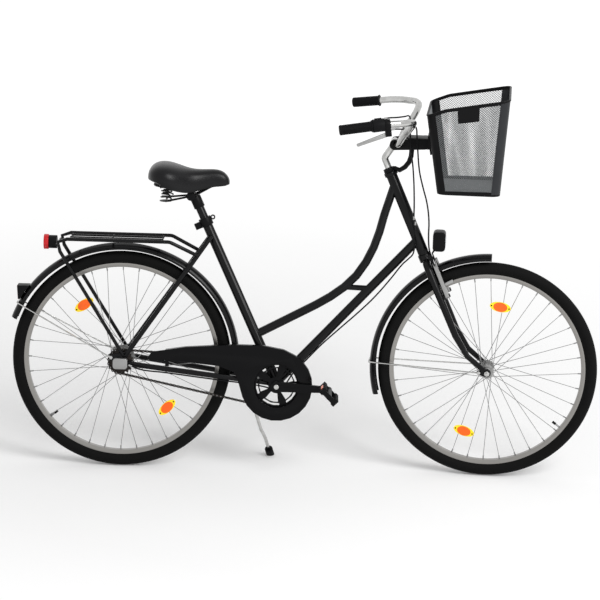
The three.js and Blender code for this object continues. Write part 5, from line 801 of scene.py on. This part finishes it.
def oval(size, finish):
    """A flat oval plate with broken edges, its long side along X and its thickness along Y."""
    deselect()
    bpy.ops.mesh.primitive_cylinder_add(vertices=40, radius=0.5, depth=1, rotation=(math.pi / 2, 0, 0))
    piece = bpy.context.active_object
    bpy.ops.object.transform_apply(location=True, rotation=True, scale=True)
    piece.scale = size
    bpy.ops.object.transform_apply(location=True, rotation=True, scale=True)
    edge = piece.modifiers.new("edge", "BEVEL")
    edge.width = OVAL_EDGE
    edge.angle_limit = math.radians(60)
    bpy.ops.object.modifier_apply(modifier=edge.name)
    return coloured(piece, finish)


def reflector():
    parts = [oval(HOLDER_SIZE, yellow), oval(LENS_SIZE, orange)]
    for side in (-1, 1):
        spot = Vector((side * SCREW_PLACE, 0, 0))
        out = Vector((0, SCREW_HALF, 0))
        parts.append(rod(spot - out, spot + out, SCREW_RADIUS, plastic, 10))
    return joined(parts)


for end, wheel_frame in (("rear", REAR), ("front", FRONT)):
    axle = wheel_frame.to_3x3().col[1]
    hub_centre = wheel_frame.translation
    for number in (1, 2):
        node = f"{end}_wheel_reflector_{number}"
        low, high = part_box(node)
        centre = (low + high) / 2
        outwards = centre - hub_centre
        outwards = (outwards - axle * outwards.dot(axle)).normalized()
        place = framed(centre, axle.cross(outwards), axle, outwards)
        finished(reflector(), node + "_lens", f"{end}_wheel", "amber_plastic", place, [node])
print("reflectors placed")

# %% [markdown]
# ## Mudguards
# A mudguard is a thin steel channel rolled to an arc, with its edges turned in for stiffness. One bowed
# outline is spun through the length of the arc, and its two ends are closed.

# %% Mudguards
GUARD_CROWN = 0.3778
GUARD_HALF = 0.0268
GUARD_DEPTH = 0.0198
GUARD_SHEET = 0.0015
GUARD_POINTS = 12
REAR_GUARD = (math.radians(8), math.radians(160))
FRONT_GUARD = (math.radians(90), math.radians(195))


def channel_outline():
    def bow(shrink):
        points = []
        for i in range(GUARD_POINTS + 1):
            angle = math.pi * i / GUARD_POINTS
            rise = (GUARD_DEPTH - shrink) * math.sin(angle) - GUARD_DEPTH
            points.append((GUARD_CROWN + rise, (GUARD_HALF - shrink) * math.cos(angle)))
        return points

    return bow(0.0) + bow(GUARD_SHEET)[::-1]


for end, place, body, (front, tail) in (
    ("rear", REAR, "frame", REAR_GUARD), ("front", FRONT, "steering", FRONT_GUARD),
):
    guard = spun(channel_outline(), paint, steps=72, start=front, turn=tail - front)
    node = f"{end}_mudguard"
    finished(guard, node + "_sheet", body, "black_paint", place, [node], angle=50)
    dressed(node + "_stay", chrome)
print("mudguards rolled")

# %% [markdown]
# ## Frame, fork and carrier
# The welded tubes keep the shape of their CAD nodes. Each is copied, its loose triangles are merged,
# and its edges are broken a little, because painted steel never shows a razor edge.

# %% Painted pieces
for node in (
    "main_frame", "rear_stay_right", "rear_stay_left", "carrier", "fork", "headset_cup", "seat_post",
):
    dressed(node, paint)
print("painted pieces dressed")

# %% Bright pieces
for node in ("rear_axle", "front_axle", "stem", "crank_spindle", "kickstand_leg"):
    dressed(node, chrome)
for node in ("hub_gear_box", "brake_arm_right", "brake_arm_left", "brake_lever"):
    dressed(node, alloy)
print("bright pieces dressed, pieces so far:", len(shown))

# %% Moulded pieces
for node in (
    "seat_clamp", "saddle_clamp", "saddle_base", "brake_lever_bracket", "basket_bracket",
    "tail_lamp_body", "crank_right", "crank_left", "chainring",
):
    dressed(node, plastic)
dressed("chain_guard", guard_plastic)
dressed("kickstand_foot", grip_rubber)
dressed("rear_sprocket", chain_steel)
dressed("saddle_rails", paint)
print("moulded pieces dressed")

# %% [markdown]
# ## Chain
# A bicycle chain has a pitch of half an inch. One outer link and one inner link are modelled and set
# along the belt line: straight runs above and below, and an arc round each toothed wheel.

# %% The belt line
PITCH = 0.0127
CHAIN_LINE = 0.045
RING_TEETH = 38
SPROCKET_TEETH = 19


def pitch_radius(teeth):
    return PITCH / (2 * math.sin(math.pi / teeth))


def belt_line(step):
    """Places a step apart along the loop, each with the angle at which the chain runs there."""
    near, far = pitch_radius(SPROCKET_TEETH), pitch_radius(RING_TEETH)
    gap = REAR.inverted() @ bottom_bracket
    reach = math.hypot(gap.x, gap.z)
    slope = math.atan2(gap.z, gap.x)
    wrap = math.asin((far - near) / reach)
    run = reach * math.cos(wrap)
    front_arc = math.pi + 2 * wrap
    back_arc = math.pi - 2 * wrap
    legs = [far * front_arc, run, near * back_arc, run]
    count = round(sum(legs) / step)
    step = sum(legs) / count
    for i in range(count):
        at = i * step
        if at < legs[0]:
            angle = slope - math.pi / 2 - wrap + at / far
            yield gap.x + far * math.cos(angle), gap.z + far * math.sin(angle), angle + math.pi / 2
        elif at < legs[0] + legs[1]:
            angle = slope + math.pi / 2 + wrap
            way = angle + math.pi / 2
            x, z = gap.x + far * math.cos(angle), gap.z + far * math.sin(angle)
            along = at - legs[0]
            yield x + along * math.cos(way), z + along * math.sin(way), way
        elif at < sum(legs[:3]):
            angle = slope + math.pi / 2 + wrap + (at - legs[0] - legs[1]) / near
            yield near * math.cos(angle), near * math.sin(angle), angle + math.pi / 2
        else:
            angle = slope - math.pi / 2 - wrap
            way = angle + math.pi / 2
            along = at - sum(legs[:3])
            x, z = near * math.cos(angle), near * math.sin(angle)
            yield x + along * math.cos(way), z + along * math.sin(way), way


print("pitch radii:", round(pitch_radius(RING_TEETH), 4), round(pitch_radius(SPROCKET_TEETH), 4))

# %% Links
PLATE_ROUND = 0.0042
PLATE_WAIST = 0.62
PLATE_THICK = 0.0009
WAIST_SHARE = 0.1
OUTER_HALF = 0.0033
INNER_HALF = 0.0023
PIN_RADIUS = 0.0016
PIN_HALF = 0.0039
ROLLER_RADIUS = 0.0038
ROLLER_HALF = 0.002


def link_plate(along):
    """A plate with two round ends and a waist, made from a disc that is drawn apart."""
    deselect()
    bpy.ops.mesh.primitive_cylinder_add(vertices=12, radius=1, depth=1, rotation=(math.pi / 2, 0, 0))
    piece = bpy.context.active_object
    bpy.ops.object.transform_apply(location=True, rotation=True, scale=True)
    for vertex in piece.data.vertices:
        side, across_plate = vertex.co.x, vertex.co.z * PLATE_ROUND
        if abs(side) < WAIST_SHARE:
            spot = (PITCH / 2, across_plate * PLATE_WAIST)
        else:
            spot = (PITCH / 2 + math.copysign(PITCH / 2, side) + PLATE_ROUND * side, across_plate)
        vertex.co = (spot[0], along + vertex.co.y * PLATE_THICK, spot[1])
    return coloured(piece, chain_steel)


def link(outer):
    half = OUTER_HALF if outer else INNER_HALF
    parts = [link_plate(-half), link_plate(half)]
    for x in (0, PITCH):
        if outer:
            start, end = Vector((x, -PIN_HALF, 0)), Vector((x, PIN_HALF, 0))
            parts.append(rod(start, end, PIN_RADIUS, steel, 6))
        else:
            start, end = Vector((x, -ROLLER_HALF, 0)), Vector((x, ROLLER_HALF, 0))
            parts.append(rod(start, end, ROLLER_RADIUS, chain_steel))
    return joined(parts)


models = [link(True), link(False)]
loop = []
for number, (x, z, way) in enumerate(belt_line(PITCH)):
    model = models[number % 2]
    copy = bpy.data.objects.new("link", model.data.copy())
    bpy.context.scene.collection.objects.link(copy)
    turn = Matrix.Rotation(-way, 4, "Y")
    copy.data.transform(Matrix.Translation((x, -CHAIN_LINE, z)) @ turn)
    loop.append(copy)
for model in models:
    bpy.data.objects.remove(model)
chain = joined(loop)
finished(chain, "chain_links", "frame", "chain_steel", REAR, ["chain"], angle=30)
print("links:", len(loop))

# %% [markdown]
# ## Pedals
# A block pedal has two rubber treads on a plastic cage that turns on the crank's axle. The treads carry
# cross ribs, and a small reflector sits in each side of the cage.

# %% Pedals
PEDAL_LENGTH = 0.096
PEDAL_DEPTH = 0.064
PEDAL_HEIGHT = 0.024
TREAD = 0.013
TREAD_SINK = 0.005
TREAD_EDGE = 0.0012
RIBS = 9
RIB_LENGTH = 0.0062
RIB_EDGE = 0.0009
RIB_PLAY = 0.0005
RIB_TOP_PLAY = 0.0004
AXLE_RADIUS = 0.0088
PEDAL_PLAY = 0.001
END_PLATE = 0.0048
END_PLATE_SHARE = 0.68
END_PLATE_EDGE = 0.001
END_PLATE_INSET = 0.0025
PEDAL_LENS = (0.0014, 0.04, 0.009)
PEDAL_LENS_EDGE = 0.0004
PEDAL_LENS_INSET = 0.0008


def pedal(low, high):
    """The cage lies between two distances along the axle."""
    middle = (low + high) / 2
    cross = (PEDAL_DEPTH - TREAD) / 2
    start, stop = Vector((0, low + PEDAL_PLAY, 0)), Vector((0, high - PEDAL_PLAY, 0))
    parts = [rod(start, stop, AXLE_RADIUS, plastic, 20)]
    for side in (-1, 1):
        size = (TREAD - 2 * PEDAL_PLAY, PEDAL_LENGTH - PEDAL_PLAY, PEDAL_HEIGHT - TREAD_SINK)
        parts.append(block(size, (side * cross, middle, 0), TREAD_EDGE, grip_rubber))
        for i in range(RIBS):
            along = low + (i + 0.5) * PEDAL_LENGTH / RIBS
            rib = (TREAD - RIB_PLAY, RIB_LENGTH, PEDAL_HEIGHT - RIB_TOP_PLAY)
            parts.append(block(rib, (side * cross, along, 0), RIB_EDGE, grip_rubber, 1))
        end = low + END_PLATE_INSET if side < 0 else high - END_PLATE_INSET
        plate = (PEDAL_DEPTH - TREAD, END_PLATE, PEDAL_HEIGHT * END_PLATE_SHARE)
        parts.append(block(plate, (0, end, 0), END_PLATE_EDGE, plastic))
        edge = side * (PEDAL_DEPTH / 2 - PEDAL_LENS_INSET)
        parts.append(block(PEDAL_LENS, (edge, middle, 0), PEDAL_LENS_EDGE, orange, 1))
    return joined(parts)


PEDAL_TILT = {"right": math.radians(45), "left": 0.0}
for side, tilt in PEDAL_TILT.items():
    node = f"pedal_{side}"
    spin = pivot(node + "_spin")
    level = framed(spin, forward, across, upward)
    low, high = span(node_points(node, level))
    place = level @ Matrix.Rotation(tilt, 4, "Y")
    finished(pedal(low.y, high.y), node + "_treads", node, "black_plastic", place, [node], angle=35)
print("pedals ribbed")

# %% [markdown]
# ## Handlebar and grips
# The bar leaves its clamp, rises forwards and sweeps back to the hands, all in one bend of chromed
# tube. The hand frames run along the two straight ends, on which the grips sit.

# %% The bar
BAR_RADIUS = 0.0109
BAR_REACH = 0.06
BAR_HALF_WIDTH = 0.3
BAR_RISE = 0.1
CLAMP_HALF = 0.022
BAR_SHARES = [
    (0.12, 0.12, 0), (0.5, 0.33, 0.38), (1, 0.56, 0.86), (0.95, 0.74, 1), (0.4, 0.855, 1.01),
]
GRIP_START = Vector((-0.02, 0.273, 0.0997))
GRIP_END = Vector((-0.153, 0.3, 0.081))


def bar_points():
    half = [Vector((0, CLAMP_HALF, 0))]
    for reach, out, rise in BAR_SHARES:
        half.append(Vector((BAR_REACH * reach, BAR_HALF_WIDTH * out, BAR_RISE * rise)))
    half += [GRIP_START, GRIP_START.lerp(GRIP_END, 0.5), GRIP_END]
    return [Vector((p.x, -p.y, p.z)) for p in reversed(half)] + half


bar = wire(bar_points(), BAR_RADIUS, chrome, rounds=5, steps=8)
finished(bar, "handlebar_tube", "steering", "bright_chrome", BARS, ["handlebar"])
grip_length = (GRIP_END - GRIP_START).length
print("grip length:", round(grip_length, 4))

# %% Grips
GRIP_RADIUS = 0.0158
GRIP_BORE = 0.0114
GRIP_COLLAR = 0.0188
GRIP_RIB = 0.0035
GROOVE_DEPTH = 0.0009
COLLAR_EDGE = 0.001
COLLAR_WIDTH = 0.003
COLLAR_FOOT = 0.0045
RIBS_INSET = 0.008
GROOVE_WALL = 0.0005
GROOVE_WIDTH = 0.0018
END_ROUND = 0.003
END_CUT = 0.001
CAP_PAST = 0.004
CAP_HOLE = 0.003
HAND_STARTS = {"right": 0.0386, "left": 0.049}


def hand_frame(side):
    start = Vector((GRIP_START.x, side * GRIP_START.y, GRIP_START.z))
    end = Vector((GRIP_END.x, side * GRIP_END.y, GRIP_END.z))
    along = (end - start).normalized()
    sideways = along.cross(Vector((0, 0, 1))).normalized()
    return BARS @ framed(start, sideways, along, sideways.cross(along))


def grip_outline(start):
    stop = grip_length + CAP_PAST
    floor_radius = GRIP_RADIUS - GROOVE_DEPTH
    outline = [(GRIP_BORE, start), (GRIP_COLLAR - COLLAR_EDGE, start)]
    outline += [(GRIP_COLLAR, start + COLLAR_EDGE), (GRIP_COLLAR, start + COLLAR_WIDTH)]
    outline.append((GRIP_RADIUS, start + COLLAR_FOOT))
    at = start + RIBS_INSET
    while at < stop - RIBS_INSET:
        outline += [(GRIP_RADIUS, at), (floor_radius, at + GROOVE_WALL)]
        outline += [(floor_radius, at + GROOVE_WIDTH - GROOVE_WALL), (GRIP_RADIUS, at + GROOVE_WIDTH)]
        at += GRIP_RIB
    outline += [(GRIP_RADIUS, stop - END_ROUND), (GRIP_RADIUS - END_CUT, stop - END_CUT)]
    outline += [(GRIP_RADIUS - END_ROUND, stop), (CAP_HOLE, stop)]
    return outline + [(CAP_HOLE, grip_length + END_CUT), (GRIP_BORE, grip_length + END_CUT)]


for name, side in (("right", -1), ("left", 1)):
    grip = spun(grip_outline(HAND_STARTS[name]), grip_rubber, steps=40)
    finished(grip, f"grip_{name}_ribbed", "steering", "soft_rubber", hand_frame(side), [f"grip_{name}"])
dressed("twist_shifter", grip_rubber)
print("grips ribbed")

# %% [markdown]
# ## Basket
# The basket is expanded metal: a sheet that was slit and stretched into diamonds. A grid is poked and
# its old edges are dissolved, which leaves diamonds. They are then bent onto the flaring walls, and the
# Wireframe modifier gives each strand its thickness. Folded black bands close the rim and the edges.

# %% Basket walls as a surface
BASKET_LOW = -0.133
BASKET_TOP = 0.173
BOTTOM_BACK, BOTTOM_FRONT, BOTTOM_HALF = 0.141, 0.337, 0.145
TOP_BACK, TOP_FRONT, TOP_HALF = 0.092, 0.357, 0.175
CORNER = 0.028
CORNER_SHARE = 0.07
RIM_LINE = [(0.0, 0.084), (0.092, 0.116), (0.156, 0.138), (0.357, 0.173)]
MESH_INSET = 0.0015


def rim_height(x):
    for (x0, z0), (x1, z1) in zip(RIM_LINE, RIM_LINE[1:]):
        if x <= x1:
            return z0 + (z1 - z0) * (x - x0) / (x1 - x0)
    return RIM_LINE[-1][1]


def ring_point(turn, height, inset):
    """A point on the rounded outline at a height. Whole turns are its corners, and 4 is again 0."""
    share = (height - BASKET_LOW) / (BASKET_TOP - BASKET_LOW)
    back = BOTTOM_BACK + (TOP_BACK - BOTTOM_BACK) * share + inset
    front = BOTTOM_FRONT + (TOP_FRONT - BOTTOM_FRONT) * share - inset
    half = BOTTOM_HALF + (TOP_HALF - BOTTOM_HALF) * share - inset
    radius = CORNER - inset
    corners = [Vector(spot) for spot in ((back, -half), (front, -half), (front, half), (back, half))]
    side = int(turn) % 4
    part = turn - int(turn)
    start, stop = corners[side], corners[(side + 1) % 4]
    way = (stop - start).normalized()
    out = Vector((way.y, -way.x))
    if CORNER_SHARE <= part <= 1 - CORNER_SHARE:
        along = (part - CORNER_SHARE) / (1 - 2 * CORNER_SHARE)
        spot = start.lerp(stop, 0.5) + way * ((stop - start).length - 2 * radius) * (along - 0.5)
    else:
        near = part < CORNER_SHARE
        bend = 1 - part / CORNER_SHARE if near else (part - 1) / CORNER_SHARE + 1
        angle = math.radians(45) * bend
        lean = -math.sin(angle) if near else math.sin(angle)
        middle = start + way * radius if near else stop - way * radius
        spot = middle - out * radius + (out * math.cos(angle) + way * lean) * radius
    return Vector((spot.x, spot.y, height))


def wall(turn, rise, inset=MESH_INSET):
    rim = rim_height(ring_point(turn, BASKET_TOP, 0).x)
    return ring_point(turn, BASKET_LOW + rise * (rim - BASKET_LOW), inset)


print("rim behind and in front:", rim_height(TOP_BACK), rim_height(TOP_FRONT))

# %% Diamond mesh
CELLS_ROUND = 116
CELLS_HIGH = 40
FLOOR_CELLS = (16, 24)
FLOOR_INSET = 0.002
STRAND = 0.002


def diamonds(across_cells, high_cells, onto):
    """A grid turned into diamonds and bent onto a surface, given as a function of two shares."""
    deselect()
    bpy.ops.mesh.primitive_grid_add(x_subdivisions=across_cells, y_subdivisions=high_cells, size=1)
    piece = bpy.context.active_object
    first = len(piece.data.vertices)
    in_edit_mode(bpy.ops.mesh.poke, lambda: bpy.ops.mesh.select_all(action="DESELECT"))
    for edge in piece.data.edges:
        edge.select = max(edge.vertices) < first
    bpy.ops.object.mode_set(mode="EDIT")
    bpy.ops.mesh.select_mode(type="EDGE")
    bpy.ops.object.mode_set(mode="OBJECT")
    for edge in piece.data.edges:
        edge.select = max(edge.vertices) < first
    bpy.ops.object.mode_set(mode="EDIT")
    bpy.ops.mesh.dissolve_edges(use_verts=False)
    bpy.ops.mesh.select_mode(type="VERT")
    bpy.ops.object.mode_set(mode="OBJECT")
    for vertex in piece.data.vertices:
        vertex.co = onto(vertex.co.x + 0.5, vertex.co.y + 0.5)
    in_edit_mode(merge)
    strands = piece.modifiers.new("strands", "WIREFRAME")
    strands.thickness = STRAND
    strands.use_even_offset = False
    strands.use_boundary = True
    bpy.ops.object.modifier_apply(modifier=strands.name)
    return coloured(piece, mesh_wire)


def floor_point(u, v):
    """The floor inside the lowest ring; what would pass a round corner is drawn in to it."""
    length = BOTTOM_FRONT - BOTTOM_BACK - 2 * FLOOR_INSET
    half = BOTTOM_HALF - FLOOR_INSET
    x, y = (u - 0.5) * length, (2 * v - 1) * half
    over = Vector((abs(x) - (length / 2 - CORNER), abs(y) - (half - CORNER)))
    if over.x > 0 and over.y > 0 and over.length > CORNER:
        over *= CORNER / over.length
        x = math.copysign(length / 2 - CORNER + over.x, x)
        y = math.copysign(half - CORNER + over.y, y)
    return Vector(((BOTTOM_BACK + BOTTOM_FRONT) / 2 + x, y, BASKET_LOW + MESH_INSET))


walls = diamonds(CELLS_ROUND, CELLS_HIGH, lambda u, v: wall(4 * u, v))
bottom = diamonds(*FLOOR_CELLS, floor_point)
print("diamond mesh faces:", len(walls.data.polygons), len(bottom.data.polygons))

# %% Bands and rim
BAND_SHEET = 0.0028
BAND_INSET = 0.0014
RIM_WIRE = 0.0034
RIM_WIRE_INSET = 0.0016
RIM_WIRE_RISE = 0.992
RIM_STEPS = 120
FOOT_BAND = (0.0, 0.045)
RIM_BAND = (0.965, 0.995)
EDGE_BAND = (0.02, 0.98)
EDGE_BAND_HALF = 0.07
BACK_CORNERS = (4, 7)
FRONT_CORNERS = (1, 2)
ROUND_CUTS = 104
EDGE_CUTS = (10, 6)
PATCH_CUTS = (4, 3)
PATCH_TURNS = (0.37, 0.66)
PATCH_RISES = (0.82, 0.965)


def band(turns, rises, finish, cuts):
    """A strip of the wall between two turns and two rises, with a thickness of its own."""
    deselect()
    bpy.ops.mesh.primitive_grid_add(x_subdivisions=cuts[0], y_subdivisions=cuts[1], size=1)
    piece = bpy.context.active_object
    for vertex in piece.data.vertices:
        turn = turns[0] + (turns[1] - turns[0]) * (vertex.co.x + 0.5)
        rise = rises[0] + (rises[1] - rises[0]) * (vertex.co.y + 0.5)
        vertex.co = wall(turn, rise, BAND_INSET)
    in_edit_mode(merge, face_out)
    sheet = piece.modifiers.new("sheet", "SOLIDIFY")
    sheet.thickness = BAND_SHEET
    sheet.offset = 0
    bpy.ops.object.modifier_apply(modifier=sheet.name)
    return coloured(piece, finish)


steel_grey = moulded_plastic("grey folded edge", (0.022, 0.023, 0.025), 0.3)
rim_path = [wall(4 * i / RIM_STEPS, RIM_WIRE_RISE, RIM_WIRE_INSET) for i in range(RIM_STEPS + 1)]
parts = [walls, bottom]
parts.append(wire(rim_path, RIM_WIRE, plastic, rounds=3, steps=2))
parts.append(band((0, 4), FOOT_BAND, plastic, (ROUND_CUTS, 2)))
parts.append(band((0, 4), RIM_BAND, plastic, (ROUND_CUTS, 1)))
for corners, finish in ((BACK_CORNERS, plastic), (FRONT_CORNERS, steel_grey)):
    for corner in corners:
        turns = (corner - EDGE_BAND_HALF, corner + EDGE_BAND_HALF)
        parts.append(band(turns, EDGE_BAND, finish, EDGE_CUTS))
basket = joined(parts)
finished(basket, "basket_mesh", "steering", "basket_wire", BARS, ["basket"])
patch = band(PATCH_TURNS, PATCH_RISES, guard_plastic, PATCH_CUTS)
finished(patch, "basket_patch", "steering", "black_plastic", BARS)
print("basket done")

# %% [markdown]
# ## Saddle
# The saddle is a foam pad under a vinyl cover, moulded in one with no sewn panels. It is subdivided
# from the CAD cushion rather than simulated, because moulded foam keeps its shape. Under it, two coil
# springs carry the rear.

# %% Pad and springs
def pad_skin():
    def pair_triangles():
        bpy.ops.mesh.tris_convert_to_quads(face_threshold=1.0, shape_threshold=1.2)

    piece = cad_copy("saddle_pad", pair_triangles, face_out)
    smoother = piece.modifiers.new("smoother", "SUBSURF")
    smoother.levels = smoother.render_levels = 2
    bpy.ops.object.modifier_apply(modifier=smoother.name)
    return coloured(piece, vinyl)


pad = finished(pad_skin(), "saddle_cover", "seat", "saddle_vinyl", nodes=["saddle_pad"], angle=60)

SPRING_WIRE = 0.0024
SPRING_RADIUS = 0.017
SPRING_HEIGHT = 0.044
SPRING_TURNS = 3.5
SPRING_WAIST = 0.72
SPRING_POINTS = 14


def spring_points():
    points = [Vector((SPRING_RADIUS, 0, SPRING_WIRE))]
    steps = round(SPRING_TURNS * SPRING_POINTS)
    for i in range(steps + 1):
        share = i / steps
        angle = FULL_TURN * SPRING_TURNS * share
        radius = SPRING_RADIUS * (1 - (1 - SPRING_WAIST) * math.sin(math.pi * share))
        rise = 2 * SPRING_WIRE + (SPRING_HEIGHT - 4 * SPRING_WIRE) * share
        points.append(Vector((radius * math.cos(angle), radius * math.sin(angle), rise)))
    return points + [Vector((points[-1].x, points[-1].y, SPRING_HEIGHT - SPRING_WIRE))]


level_turn = framed(Vector(), forward, across, upward)
for side in ("right", "left"):
    node = f"saddle_spring_{side}"
    low, high = span(node_points(node, level_turn))
    foot = Vector(((low.x + high.x) / 2, (low.y + high.y) / 2, low.z))
    coil = wire(spring_points(), SPRING_WIRE, paint, rounds=3, steps=3)
    place = level_turn @ Matrix.Translation(foot)
    finished(coil, node + "_coil", "seat", "spring_paint", place, [node])
print("saddle done")

# %% [markdown]
# ## Cables
# The brake cable and the two lengths of shift cable are housings held along their whole way, so they
# repeat the routes of the CAD model. A bright ferrule closes each end.

# %% Cable housings
CABLE_RADIUS = 0.0025
FERRULE_RADIUS = 0.0032
FERRULE_LENGTH = 0.011
MM = 0.001
BRAKE_CABLE_ROUTE = [
    (-0.8, -269, 84.6), (10, -266.6, 86), (24, -250, 84), (33, -222, 80), (34, -190, 78),
    (32, -160, 76), (38, -132, 82), (54, -114, 80), (67, -96, 68), (71, -82, 38), (75, -74, -11),
    (82, -62, -76), (94, -46, -129), (108, -30, -182), (116, -18, -240), (117, -15, -300),
    (121, -24, -334), (130, -46, -352), (136, -60, -366), (140, -57, -377), (140.7, -47, -377.4),
]
SHIFT_CABLE_FRONT_ROUTE = [
    (-23.8, -273.8, 118), (-6.5, -270.3, 120.7), (12, -262, 121), (36, -222, 119), (47, -160, 112),
    (50, -112, 90), (50, -84, 40), (54, -64, -12), (62, -52, -77), (68, -42, -171), (69, -36, -236),
]
SHIFT_CABLE_REAR_ROUTE = [
    (925, -34, 828), (921, -31, 775), (922, -22, 725), (905, -12, 702), (890, -5, 686),
    (855.4, -3.5, 639.5), (805, -3.5, 577.2), (756.2, -3.5, 527), (697.7, -3.5, 472),
    (639.8, -3.5, 416.6), (592.5, -3.5, 365.1), (551.9, -4, 320.8), (519.6, -7, 273.5),
    (507.6, -9, 264.2), (492.4, -12, 263.5), (478, -16, 270), (440, -27, 281), (400, -33, 288),
    (340, -41, 295.6), (270, -46.5, 304.4), (200, -51, 313.2), (130, -56.5, 322.1), (90, -66, 327),
    (60, -75, 334), (38, -76, 342), (27, -76, 346),
]
for node, route, body, place in (
    ("brake_cable", BRAKE_CABLE_ROUTE, "steering", BARS),
    ("shift_cable_front", SHIFT_CABLE_FRONT_ROUTE, "steering", BARS),
    ("shift_cable_rear", SHIFT_CABLE_REAR_ROUTE, "frame", BIKE),
):
    points = [Vector(point) * MM for point in route]
    parts = [wire(points, CABLE_RADIUS, cable_skin, rounds=2, steps=4)]
    for end, inner in ((points[0], points[1]), (points[-1], points[-2])):
        way = (inner - end).normalized()
        parts.append(rod(end, end + way * FERRULE_LENGTH, FERRULE_RADIUS, alloy, 10))
    finished(joined(parts), node + "_housing", body, "black_plastic", place, [node])
print("cables laid")

# %% [markdown]
# ## Lamps and reflectors
# The front lamp is a black shell with a bright face of small prisms. The tail lamp has a red lens on the
# carrier, and the rear mudguard carries a black housing with a red rear face. The shells keep their CAD
# shape. Only the front lamp's face is new, set into its front and sized from it.

# %% Lamps
LENS_RIM = 0.006
LENS_THICK = 0.003
LENS_EDGE = 0.0012
FACE_DEPTH = 0.0005
REFLECTOR_DEPTH = 0.012
REFLECTOR_FACING = 0.8

dressed("front_lamp", plastic)
dressed("tail_lamp_lens", red)
red_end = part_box("rear_reflector")[0].x + REFLECTOR_DEPTH
housing = dressed("rear_reflector", plastic)
housing.data.materials.append(red.material)
for face in housing.data.polygons:
    backwards = -face.normal.dot(forward)
    face.material_index = int(face.center.x < red_end and backwards > REFLECTOR_FACING)

lamp_points = node_points("front_lamp", FRONT)
lamp_front = span(lamp_points)[1].x
low, high = span([point for point in lamp_points if point.x > lamp_front - FACE_DEPTH])
size = (LENS_THICK, high.y - low.y - 2 * LENS_RIM, high.z - low.z - 2 * LENS_RIM)
lens = block(size, (lamp_front, (low.y + high.y) / 2, (low.z + high.z) / 2), LENS_EDGE, silver)
finished(lens, "front_lamp_lens", "steering", "bright_chrome", FRONT)
print("shown pieces:", len(shown))
